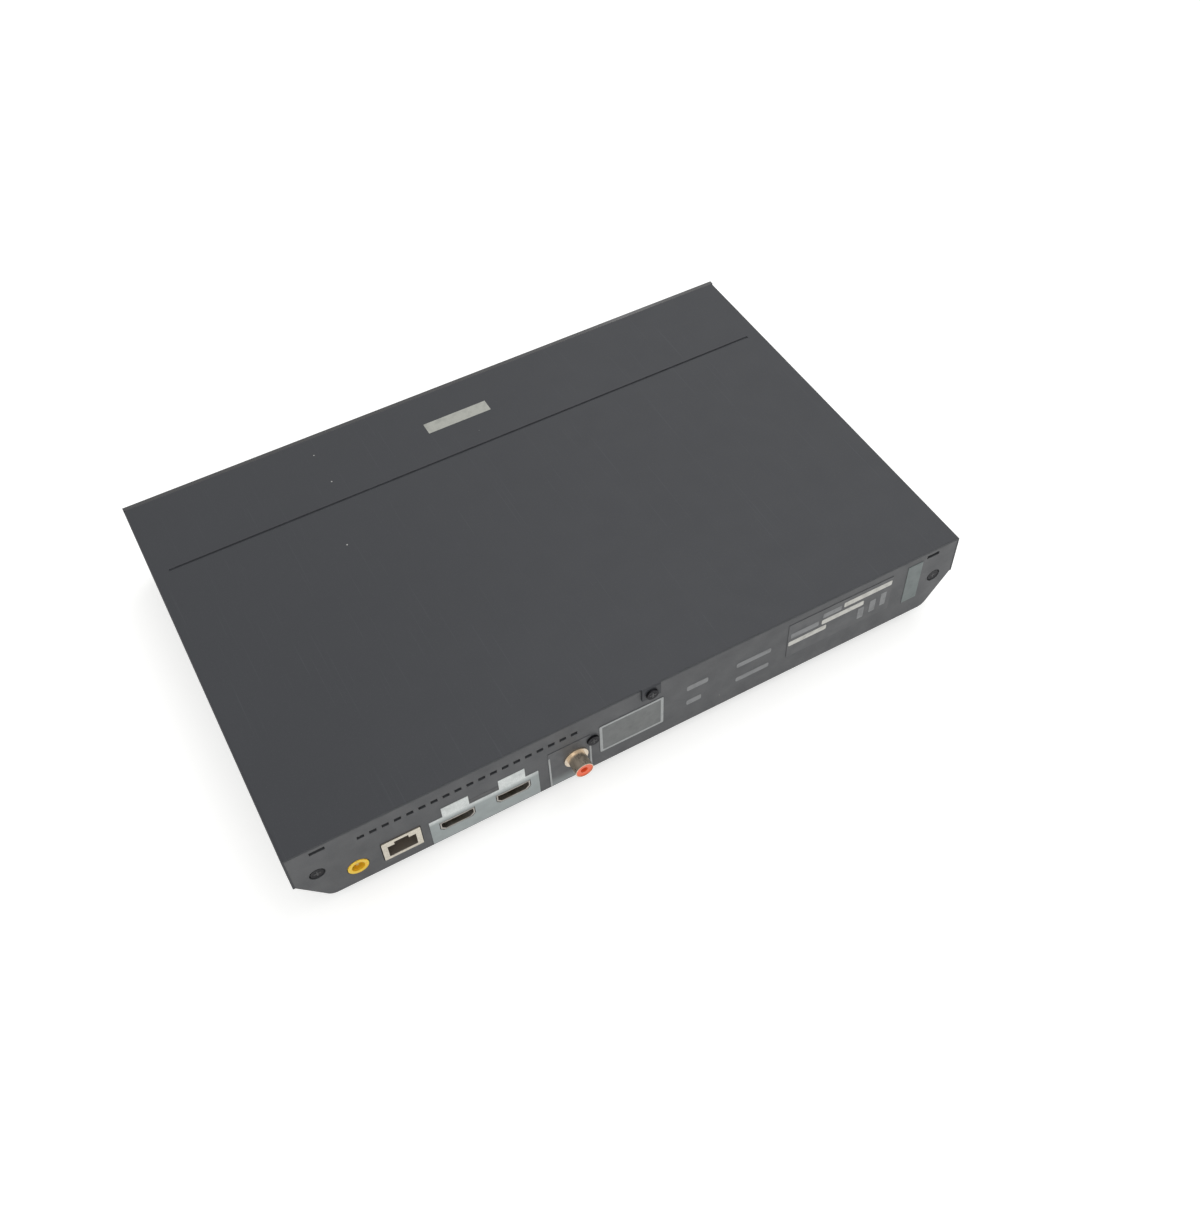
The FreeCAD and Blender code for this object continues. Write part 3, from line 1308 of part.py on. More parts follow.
def make_disc_tray():
    """Mould the disc tray with both disc wells, the open slot and the rack."""
    body = new_body("disc_tray")
    pad(body, "XY", "tray_base", "tray_top", rectangle(
        place_x(f"-{HALF_TRAY}"), place_x(HALF_TRAY), TRAY_FRONT, f"{TRAY_FRONT} + tray_length"))
    pocket(body, "XY", "tray_floor", "tray_top", circle("loader_place", DISC_ROW, "disc_radius + disc_play"))
    small_floor = "(tray_floor - small_disc_step)"
    pocket(body, "XY", small_floor, "tray_floor", circle("loader_place", DISC_ROW, "small_disc_radius"))
    pocket(body, "XY", "tray_base", "tray_top", circle("loader_place", DISC_ROW, "slot_radius"))
    pocket(body, "XY", "tray_base", "tray_top", rectangle(
        place_x("-slot_radius"), place_x("slot_radius"), DISC_ROW, f"{TRAY_FRONT} + tray_length"))
    root = f"({RACK_LINE} + gear_module * gear_dedendum)"
    tip = f"({RACK_LINE} - gear_module * gear_addendum)"
    pitch = "(pi * gear_module)"
    spare = f"({pitch} * rack_spare)"
    pad(body, "XY", "rack_base", "tray_base + tray_lift_gap", rectangle(
        root, f"{RACK_LINE} + rack_back", f"{GEAR_ROW} - {spare}", f"{GEAR_ROW} + tray_travel + {spare}"))
    slope = "tan(pressure_angle)"
    half = f"({pitch} / 4 - gear_backlash / 2)"
    at_tip = f"({half} - {slope} * gear_module * gear_addendum)"
    at_root = f"({half} + {slope} * gear_module * gear_dedendum)"
    row = f"({GEAR_ROW} - {spare} + {pitch} / 2)"
    tooth = pad(body, "XY", "rack_base", "tray_base", polygon(
        (f"{root} + gear_backlash", f"{row} - {at_root}"), (f"{root} + gear_backlash", f"{row} + {at_root}"),
        (root, f"{row} + {at_root}"), (tip, f"{row} + {at_tip}"),
        (tip, f"{row} - {at_tip}"), (root, f"{row} - {at_root}")))
    teeth = f"(floor(tray_travel / {pitch}) + rack_spare * 2)"
    repeat(body, tooth, "V_Axis", f"{pitch} * ({teeth} - 1)", teeth)


def make_clamp():
    """Cut the clamp bridge, and turn the clamper and its magnet."""
    bridge = new_body("clamp_bridge")
    half = f"({LOADER_OUT} + boss_reach + boss_radius)"
    pad(bridge, "XY", "loader_top", "loader_top + bridge_sheet",
        rectangle(place_x(f"-{half}"), place_x(half), place_y("-bridge_half"), place_y("bridge_half")),
        circle("loader_place", DISC_ROW, "bridge_hole"),
        *[circle(u, v, SCREW_HOLE) for u, v in BRIDGE_BOSSES])
    flange = "(loader_top + bridge_sheet + seat_gap)"
    crown = f"({flange} + clamper_flange_wall)"
    well = "(clamper_base + cone_tall + seat_gap)"
    plate_top = "(loader_top - clamper_gap)"
    magnet_base = f"({crown} - magnet_tall)"
    keep(turned("clamper_turned", "loader_place", DISC_ROW, (
        ("0", well), ("cone_radius + cone_slack", well), ("cone_radius + cone_slack", "clamper_base"),
        ("clamper_radius", "clamper_base"), ("clamper_radius", plate_top), ("clamper_neck", plate_top),
        ("clamper_neck", flange), ("clamper_flange", flange), ("clamper_flange", crown),
        ("magnet_radius", crown), ("magnet_radius", magnet_base), ("0", magnet_base),
    )), "clamper")
    magnet = rod("magnet_disc", "Z", ("loader_place", DISC_ROW), "magnet_radius", magnet_base, crown)
    keep(magnet, "clamp_magnet")


# Tray drive

def involute_points(teeth, module, sign, middle):
    """Work out three points of a tooth's flank, from its root end to its tip."""
    pitch_radius = module * teeth / 2
    pressure = math.radians(number("pressure_angle"))
    base_radius = pitch_radius * math.cos(pressure)
    tip_radius = pitch_radius + module * number("gear_addendum")
    low_radius = max(base_radius, pitch_radius - module * number("gear_dedendum"))
    half_angle = (math.pi * module / 2 - number("gear_backlash")) / (2 * pitch_radius)
    involute_at_pitch = math.tan(pressure) - pressure
    points = []
    for radius in (low_radius, (low_radius + tip_radius) / 2, tip_radius):
        slope = math.acos(min(1.0, base_radius / radius))
        angle = half_angle + involute_at_pitch - (math.tan(slope) - slope)
        turned_by = middle + sign * angle
        points.append(FreeCAD.Vector(radius * math.cos(turned_by), radius * math.sin(turned_by), 0))
    return points


def gear_shape(teeth, first_tooth, tall, bore):
    """Make a spur gear whose first tooth points along an angle in degrees."""
    module = number("gear_module")
    root_radius = module * teeth / 2 - module * number("gear_dedendum")
    edges = []
    last_root = None
    first_root = None
    step = 2 * math.pi / teeth
    for index in range(teeth):
        middle = math.radians(first_tooth) + index * step
        rising = involute_points(teeth, module, -1, middle)
        falling = involute_points(teeth, module, 1, middle)
        root_in = rising[0] * (root_radius / rising[0].Length)
        root_out = falling[0] * (root_radius / falling[0].Length)
        if last_root is not None:
            edges.append(root_arc(last_root, root_in, middle - step / 2, root_radius))
        else:
            first_root = root_in
        if (rising[0] - root_in).Length > TOUCH:
            edges.append(Part.LineSegment(root_in, rising[0]).toShape())
        edges.append(Part.Arc(*rising).toShape())
        tip = FreeCAD.Vector(math.cos(middle), math.sin(middle), 0) * rising[2].Length
        edges.append(Part.Arc(rising[2], tip, falling[2]).toShape())
        edges.append(Part.Arc(*reversed(falling)).toShape())
        if (falling[0] - root_out).Length > TOUCH:
            edges.append(Part.LineSegment(falling[0], root_out).toShape())
        last_root = root_out
    edges.append(root_arc(last_root, first_root, math.radians(first_tooth) - step / 2, root_radius))
    outline = Part.Face(Part.Wire(edges))
    gear = outline.extrude(FreeCAD.Vector(0, 0, tall))
    hole = Part.makeCylinder(bore, tall)
    return gear.cut(hole)


def root_arc(start, end, middle, radius):
    """Make the arc of a tooth space at the root circle."""
    deepest = FreeCAD.Vector(math.cos(middle), math.sin(middle), 0) * radius
    return Part.Arc(start, deepest, end).toShape()


def make_gear(name, teeth, first_tooth, place):
    """Add a gear to the document on its shaft post."""
    item = doc.addObject("Part::Feature", name)
    bore = number("gear_shaft + shaft_slack")
    item.Shape = gear_shape(round(number(teeth)), first_tooth, number("gear_tall"), bore)
    item.Placement = FreeCAD.Placement(
        FreeCAD.Vector(number(place), number(GEAR_ROW), number("gear_base")), FreeCAD.Rotation())
    return item


def pulley_corners(bore, radius, shelf):
    """Give a pulley's profile: a flat groove between two rims, and a hub up to a shelf."""
    top = "(pulley_base + pulley_tall)"
    middle = "(pulley_base + pulley_tall / 2)"
    floor = f"({radius} - belt_groove)"
    slot = "(belt_tall / 2 + belt_slack)"
    return [
        (bore, "pulley_base"), (radius, "pulley_base"), (radius, f"{middle} - {slot} - belt_slack"),
        (floor, f"{middle} - {slot}"), (floor, f"{middle} + {slot}"),
        (radius, f"{middle} + {slot} + belt_slack"), (radius, top),
        (f"{bore} + gear_step", top), (f"{bore} + gear_step", shelf), (bore, shelf),
    ]


def belt_wire(large, small, large_place, small_place, level):
    """Make the closed line that wraps two circles on a row parallel to X."""
    span = large_place - small_place
    lean = math.asin((large - small) / span)
    middle_large = FreeCAD.Vector(large_place, 0, level)
    middle_small = FreeCAD.Vector(small_place, 0, level)

    def on_circle(middle, radius, angle):
        return middle + FreeCAD.Vector(math.cos(angle), math.sin(angle), 0) * radius

    high = math.pi / 2 + lean
    a = on_circle(middle_large, large, high)
    b = on_circle(middle_small, small, high)
    c = on_circle(middle_small, small, -high)
    d = on_circle(middle_large, large, -high)
    return Part.Wire([
        Part.LineSegment(a, b).toShape(),
        Part.Arc(b, on_circle(middle_small, small, math.pi), c).toShape(),
        Part.LineSegment(c, d).toShape(),
        Part.Arc(d, on_circle(middle_large, large, 0), a).toShape(),
    ])


def make_tray_drive():
    """Make the loading motor, its pulley, the belt and the two gears."""
    keep(make_gear("drive_gear_teeth", "drive_teeth", 0, DRIVE_PLACE), "drive_gear")
    half_tooth = 180 / number("pinion_teeth")
    pinion = make_gear("pinion_gear", "pinion_teeth", half_tooth, PULLEY_PLACE)
    wheel = turned("pulley_wheel", PULLEY_PLACE, GEAR_ROW,
                   pulley_corners("(gear_shaft + shaft_slack)", "pulley_radius", "gear_base"))
    keep(fuse("pulley_and_pinion", wheel, pinion), "pulley_gear")
    motor_top = f"({LOADER_DECK} + loading_motor_tall)"
    small = pulley_corners("0", "motor_pulley_radius", "(pulley_base + pulley_tall + seat_gap)")
    shaft_end = f"({motor_top} - gear_shaft)"
    keep(turned("motor_pulley_turned", MOTOR_PLACE, GEAR_ROW,
                [("0", shaft_end), ("loading_shaft", shaft_end), ("loading_shaft", "pulley_base")]
                + small[1:-1] + [("0", small[-1][1])]), "motor_pulley")
    bore_end = f"({shaft_end} - seat_gap)"
    bore = "(loading_shaft + shaft_slack)"
    keep(turned("loading_motor_turned", MOTOR_PLACE, GEAR_ROW, (
        ("0", LOADER_DECK), ("loading_motor_radius", LOADER_DECK), ("loading_motor_radius", motor_top),
        (bore, motor_top), (bore, bore_end), ("0", bore_end),
    )), "loading_motor")
    large_in = number("pulley_radius - belt_groove + belt_slack")
    small_in = number("motor_pulley_radius - belt_groove + belt_slack")
    wall = number("belt_wall")
    level = number("pulley_base + pulley_tall / 2 - belt_tall / 2")
    places = (number(PULLEY_PLACE), number(MOTOR_PLACE), level)
    outside = Part.Face(belt_wire(large_in + wall, small_in + wall, *places))
    ring = outside.cut(Part.Face(belt_wire(large_in, small_in, *places)))
    belt = doc.addObject("Part::Feature", "belt_loop")
    belt.Shape = ring.extrude(FreeCAD.Vector(0, 0, number("belt_tall")))
    belt.Placement = FreeCAD.Placement(FreeCAD.Vector(0, number(GEAR_ROW), 0), FreeCAD.Rotation())
    keep(belt, "drive_belt")


# Traverse

def make_cam_slider():
    """Cut the cam slider with the two slanted slots that lower the traverse."""
    body = new_body("cam_slider")
    base = f"({LOADER_DECK} + case_gap)"
    pad(body, "XZ", SLIDER_FRONT, SLIDER_REAR,
        rectangle(place_x("-slider_half"), place_x("slider_half"), base, f"{base} + slider_tall"))
    slope = f"({CAM_FALL} / slider_travel)"
    reach = "(cam_pin + cam_slack)"
    half = f"({reach} * sqrt(1 + {slope} * {slope}))"
    for hand in ("-", ""):
        pin = place_x(f"{hand}cam_pin_place")
        near = f"({pin} + {reach})"
        far = f"({pin} - slider_travel - {reach})"
        near_level = f"(cam_pin_level + {reach} * {slope})"
        far_level = f"(cam_pin_level - {CAM_FALL} - {reach} * {slope})"
        pocket(body, "XZ", SLIDER_FRONT, SLIDER_REAR, polygon(
            (far, f"{far_level} - {half}"), (near, f"{near_level} - {half}"),
            (near, f"{near_level} + {half}"), (far, f"{far_level} + {half}")))


def make_traverse_frame():
    """Mould the traverse frame with its window, bearings, cam pins and pivot pins."""
    body = new_body("traverse_frame")
    window_left = place_x("-window_half")
    window_right = place_x("window_half")
    pad(body, "XY", "traverse_base", TRAVERSE_TOP,
        rectangle(place_x("-traverse_half"), place_x("traverse_half"),
                  TRAVERSE_FRONT, place_y("traverse_rear")),
        rectangle(window_left, window_right, place_y("window_front"), place_y("window_rear")),
        circle("loader_place", DISC_ROW, "motor_collar + seat_gap"))
    for hand in ("-", ""):
        rod_line = place_x(f"{hand}rod_place")
        pocket(body, "XZ", place_y("window_front - rod_seat"), place_y("window_front"),
               circle(rod_line, PIVOT_LEVEL, "rod_radius"))
        pocket(body, "XZ", place_y("window_rear"), place_y("window_rear + rod_seat"),
               circle(rod_line, PIVOT_LEVEL, "rod_radius"))
        pin_line = place_x(f"{hand}cam_pin_place")
        pad(body, "XZ", f"{SLIDER_FRONT} + case_gap", TRAVERSE_FRONT,
            circle(pin_line, "cam_pin_level", "cam_pin"))
    pad(body, "YZ", place_x("traverse_half"), place_x("traverse_half + pivot_reach"),
        circle(PIVOT_ROW, PIVOT_LEVEL, "pivot_radius"))
    pad(body, "YZ", place_x("-traverse_half - pivot_reach"), place_x("-traverse_half"),
        circle(PIVOT_ROW, PIVOT_LEVEL, "pivot_radius"))
    screw_line = place_x("screw_place")
    pad(body, "XY", "screw_level - screw_radius - seat_gap", "traverse_base + seat_gap",
        rectangle(f"{screw_line} - rod_seat", f"{screw_line} + rod_seat",
                  place_y("window_front - rod_seat"), place_y("window_front")))
    pocket(body, "XZ", place_y("window_front - rod_seat"), place_y("window_front"),
           circle(screw_line, "screw_level", "screw_radius + shaft_slack"))


def make_spindle():
    """Turn the spindle motor, and the turntable with its shaft and centring cone."""
    collar_top = f"({TRAVERSE_TOP} + seat_gap)"
    motor_base = "(traverse_base - spindle_motor_tall)"
    bore_end = f"({motor_base} + seat_gap * 2)"
    bore = "(spindle_shaft + shaft_slack)"
    keep(turned("spindle_motor_turned", "loader_place", DISC_ROW, (
        ("0", motor_base), ("spindle_motor_radius", motor_base), ("spindle_motor_radius", "traverse_base"),
        ("motor_collar", "traverse_base"), ("motor_collar", collar_top), (bore, collar_top),
        (bore, bore_end), ("0", bore_end),
    )), "spindle_motor")
    hub_base = f"({collar_top} + seat_gap)"
    plate_base = "(disc_seat - turntable_wall)"
    shaft_end = f"({bore_end} + seat_gap)"
    keep(turned("turntable_turned", "loader_place", DISC_ROW, (
        ("0", shaft_end), ("spindle_shaft", shaft_end), ("spindle_shaft", hub_base),
        ("motor_collar", hub_base), ("motor_collar", plate_base), ("turntable_radius", plate_base),
        ("turntable_radius", "disc_seat"), ("cone_radius", "disc_seat"),
        ("cone_radius - cone_slack", "disc_seat + cone_tall"), ("0", "disc_seat + cone_tall"),
    )), "turntable")


def make_sled_drive():
    """Make the guide rods, the lead screw and the sled motor."""
    rods = []
    for index, hand in enumerate(("-", ""), start=1):
        rods.append(rod(f"guide_rod_{index}", "Y", (place_x(f"{hand}rod_place"), PIVOT_LEVEL), "rod_radius",
                        place_y("window_front - rod_seat"), place_y("window_rear + rod_seat")))
    group("guide_rods", *rods)
    screw_line = place_x("screw_place")
    motor_front = place_y("window_rear - sled_motor_length")
    keep(rod("lead_screw_bar", "Y", (screw_line, "screw_level"), "screw_radius",
             place_y("window_front - rod_seat"), motor_front), "lead_screw")
    keep(rod("sled_motor_can", "Y", (screw_line, "screw_level"), "sled_motor_radius",
             motor_front, place_y("window_rear")), "sled_motor")


def make_pickup():
    """Mould the pickup sled with its arms and lens housing, and the lens holder."""
    body = new_body("pickup_sled")
    rear = f"({SLED_FRONT} + sled_length)"
    pad(body, "XY", "sled_base", "sled_top",
        rectangle(place_x("-sled_half"), place_x("sled_half"), SLED_FRONT, rear))
    arm = "(rod_radius + arm_wall)"
    arm_base = f"({PIVOT_LEVEL} - {arm})"
    arm_top = f"({PIVOT_LEVEL} + {arm})"
    sleeve_out = place_x(f"-rod_place - {arm}")
    hook_out = place_x(f"rod_place + {arm}")
    arm_front = f"({SLED_FRONT} + sled_length / 2 - arm_half)"
    arm_rear = f"({SLED_FRONT} + sled_length / 2 + arm_half)"
    sleeve_ends = (f"{SLED_FRONT} + rod_seat", f"{rear} - rod_seat")
    pad(body, "XY", arm_base, arm_top,
        rectangle(sleeve_out, place_x("-sled_half + seat_gap"), *sleeve_ends),
        rectangle(place_x("sled_half - seat_gap"), hook_out, arm_front, arm_rear))
    pocket(body, "XZ", *sleeve_ends, circle(place_x("-rod_place"), PIVOT_LEVEL, "rod_radius + shaft_slack"))
    pocket(body, "XZ", arm_front, arm_rear,
           circle(place_x("rod_place"), PIVOT_LEVEL, "rod_radius + shaft_slack"))
    nut = "(screw_level + screw_radius + shaft_slack * 2)"
    pad(body, "XY", nut, f"{arm_base} + seat_gap", rectangle(
        place_x("screw_place - screw_radius"), place_x("screw_place + screw_radius"), arm_front, arm_rear))
    house_front = f"({LENS_ROW} - lens_house_long / 2)"
    house_rear = f"({LENS_ROW} + lens_house_long / 2)"
    pad(body, "XY", "sled_top", "sled_top + lens_house_tall",
        rectangle(place_x("-lens_house_half"), place_x("lens_house_half"), house_front, house_rear))
    pocket(body, "XY", "sled_top", "sled_top + lens_house_tall",
           rectangle(place_x("-lens_half - lens_gap"), place_x("lens_half + lens_gap"),
                     f"{LENS_ROW} - lens_long / 2 - lens_gap", f"{LENS_ROW} + lens_long / 2 + lens_gap"))
    holder = new_body("lens_holder")
    holder_base = "(sled_top + lens_gap)"
    holder_top = f"({holder_base} + lens_tall)"
    pad(holder, "XY", holder_base, holder_top,
        rectangle(place_x("-lens_half"), place_x("lens_half"),
                  f"{LENS_ROW} - lens_long / 2", f"{LENS_ROW} + lens_long / 2"))
    pad(holder, "XY", holder_top, f"{holder_top} + lens_dome",
        circle(place_x("-lens_half / 2"), LENS_ROW, "lens_radius"),
        circle(place_x("lens_half / 2"), LENS_ROW, "lens_radius * 0.8"))


def check_and_write():
    """Stop on any failed object or shape, then write every sub-part to its file."""
    doc.recompute()
    for item in doc.Objects:
        if "Invalid" in item.State or "Error" in item.State:
            raise RuntimeError(f"{item.Name} failed: {item.State}")
    labels = [item.Label for item in sub_parts]
    if len(set(labels)) != len(labels):
        raise RuntimeError("two sub-parts share a label")
    for item in sub_parts:
        if item.Shape.isNull() or not item.Shape.isValid():
            raise RuntimeError(f"{item.Label} has no valid shape")
    os.makedirs("parts", exist_ok=True)
    for item in sub_parts:
        item.Shape.exportStep(f"parts/{item.Label}.step")
    print(len(sub_parts), "sub-parts written")


fill_sheet()
make_top_cover()
make_badge_bar()
make_bottom_chassis()
make_feet()
make_rear_panel()
make_front_panel()
make_network_jack()
make_video_socket("video_socket_left", "video_first")
make_video_socket("video_socket_right", "video_second")
make_coax_jack()
make_power_jack()
make_printed_fields()
make_rear_screws()
make_tray_door()
make_button("power_button", "power_button_place")
make_button("eject_button", "eject_button_place")
make_plunger("power_plunger", "power_button_place")
make_plunger("eject_plunger", "eject_button_place")
make_switches()
make_front_controls()
make_main_board()
make_board_parts()
make_flat_cables()
make_loader_chassis()
make_dampers()
make_inner_screws()
make_disc_tray()
make_clamp()
make_tray_drive()
make_cam_slider()
make_traverse_frame()
make_spindle()
make_sled_drive()
make_pickup()
check_and_write()
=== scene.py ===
import json
import math

import bmesh
import bpy
from mathutils import Matrix, Vector


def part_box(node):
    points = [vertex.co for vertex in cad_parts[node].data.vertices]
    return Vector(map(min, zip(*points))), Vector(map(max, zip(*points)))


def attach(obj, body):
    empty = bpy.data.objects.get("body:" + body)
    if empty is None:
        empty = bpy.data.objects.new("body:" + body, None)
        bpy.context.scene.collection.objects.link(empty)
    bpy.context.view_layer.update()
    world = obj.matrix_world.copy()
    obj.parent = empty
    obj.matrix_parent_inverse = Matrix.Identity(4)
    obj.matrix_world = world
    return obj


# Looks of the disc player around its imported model.
# Lengths in names and calls are in millimetres, and MM turns them into Blender's metres.

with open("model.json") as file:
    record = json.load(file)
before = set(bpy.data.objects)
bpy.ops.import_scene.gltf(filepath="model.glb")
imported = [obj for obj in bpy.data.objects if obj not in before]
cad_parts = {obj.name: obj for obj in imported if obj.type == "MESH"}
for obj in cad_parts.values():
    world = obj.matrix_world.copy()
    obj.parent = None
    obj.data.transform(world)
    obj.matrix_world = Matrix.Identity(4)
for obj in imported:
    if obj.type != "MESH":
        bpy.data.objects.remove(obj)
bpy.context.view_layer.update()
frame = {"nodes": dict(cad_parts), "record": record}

MM = 0.001
X, Y, Z = 0, 1, 2

# Camera
CAMERA_PLACE = (155.65, 368.24, 493.51)
CAMERA_TURN = (38.122, 1.696, 151.013)
CAMERA_LENS = 39.406
SENSOR = 36.0
CLIP_START = 10

# Light
WORLD_LIGHT = 0.66
KEY_PLACE = (-700, -500, 1500)
KEY_SIZE = 1300
KEY_POWER = 10.0
FILL_PLACE = (500, 1300, 900)
FILL_SIZE = 1200
FILL_POWER = 7.0
FLOOR_SIZE = 8000
FLOOR_DROP = 0.02
FLOOR_COLOUR = (0.72, 0.72, 0.715)
FLOOR_GLOW = 0.52
BACKDROP = (1.0, 1.0, 0.992)

# Colours, linear
COVER_GREY = (0.030, 0.032, 0.037)
REAR_GREY = (0.058, 0.060, 0.064)
PRINT_GREY = (0.31, 0.345, 0.345)
PRINT_WHITE = (0.74, 0.77, 0.76)
LINE_GREY = (0.36, 0.375, 0.375)
STRIPE_GREY = (0.60, 0.59, 0.55)
MARK_GREY = (0.20, 0.205, 0.21)
ICON_GREY = (0.40, 0.41, 0.42)
GOLD = (0.85, 0.62, 0.30)
PATCH_GREY = (0.125, 0.150, 0.148)

# Where a look changes on the part: levels, and places along the rear
STEP_RISE = (19.6, 22.4)
FOOT_FALL = (12.0, 7.0)
PATCH_EDGE = (-128.0, -128.6)
GLASS_RISE = 0.55
LEVEL_BLEND = 0.05

# Network jack: the shield, its mouth with a notch above, and the spring wires.
# A wire's path gives how far each bend lies inside the face and under the mouth's shelf.
SHIELD_THICK = 0.3
SHIELD_CORNER = 0.5
SHIELD_EDGE = 0.06
MOUTH_SILL = 1.6
MOUTH_HALF = 6.2
MOUTH_TALL = 7.6
NOTCH_HALF = 3.1
NOTCH_TALL = 1.8
WIRE_COUNT = 8
WIRE_PITCH = 1.2
WIRE_WIDE = 0.45
WIRE_THICK = 0.25
WIRE_BENDS = ((12.4, 0.4), (3.4, 0.5), (2.6, 0.9), (8.0, 3.6), (9.6, 3.8))

# Contacts on the tongues: the shared strip, then each socket's rows.
# The insets are the far and the near end of a contact, counted from the socket's face.
CONTACT_THICK = 0.12
CONTACT_CROWN = 0.02
CONTACT_LIFT = 0.06
VIDEO_WALL = 0.6
VIDEO_MOUTH_TALL = 4.7
VIDEO_TONGUE = 0.9
VIDEO_PITCH = 1.0
VIDEO_WIDE = 0.4
VIDEO_INSETS = (9.4, 1.6)
USB_COUNT = 4
USB_PITCH = 2.5
USB_WIDE = 1.1
USB_INSETS = (1.4, 10.5)

# Prints. Each bar gives its left, right, base and top, and on the rating label the last two are
# counted down from the label's top.
INK = 0.06
LABEL_SKIN = 0.2
FRAME_CORNERS = (0.8, 0.4)
FRAME_LINE = (1.3, 1.2)
COAX_LINE = 0.8
COAX_LINE_DROP = 3.5
STEP_INSET = 11.9
STEP_HALF = 6.2
BAND_LONG = 13.1
BAND_LEVELS = (23.0, 25.4)
BAND_CORNER = 0.4
STRIPE_CORNER = 0.6
RATING_STRIPES = ((-124.6, -99.0, 6.0, 2.9), (-110.0, -87.7, 11.0, 8.0), (-90.4, -70.6, 15.4, 12.4))
BAR_CORNER = 0.5
RATING_BARS = (
    (-86.0, -71.5, 10.4, 7.2), (-97.6, -88.0, 6.6, 3.6), (-110.8, -107.6, 20.0, 12.6),
    (-117.0, -113.8, 19.0, 11.0), (-122.6, -119.6, 18.0, 9.4),
)
MARK_CORNER = 0.9
MARK_BARS = (
    (-29.6, -19.0, 27.5, 30.8), (-26.4, -19.0, 17.2, 20.5),
    (-61.6, -44.0, 26.8, 29.8), (-61.0, -44.0, 16.6, 19.6),
)

# Rear screws: how far each kind's seat stands out of the panel, and the heads' places
HEAD_TALL = 1.1
CROSS_ARM = 1.5
CROSS_WIDE = 0.62
SCREW_SEATS = {
    "corner": (-1.3, ((149.3, 25.2), (-149.3, 25.2))),
    "tab": (1.0, ((-1.2, 40.6),)),
    "jack": (0.0, ((26.6, 26.0),)),
}

# Signs on the buttons
SIGN_THICK = 0.04
SIGN_HALF = 1.35
RING_INSIDE = 1.05
RING_TURN = (125, 415)
TICK_HALF = 0.15
TICK_LEVELS = (0.35, 1.55)
ARROW_LEVELS = (-0.25, 1.25)
DASH_LEVELS = (-1.15, -0.7)

# Two corners closer than this many metres are one corner
WELD = 1e-7


def tint(colour, share):
    """Make a colour lighter or darker by a share."""
    return tuple(min(1.0, part * share) for part in colour[:3])


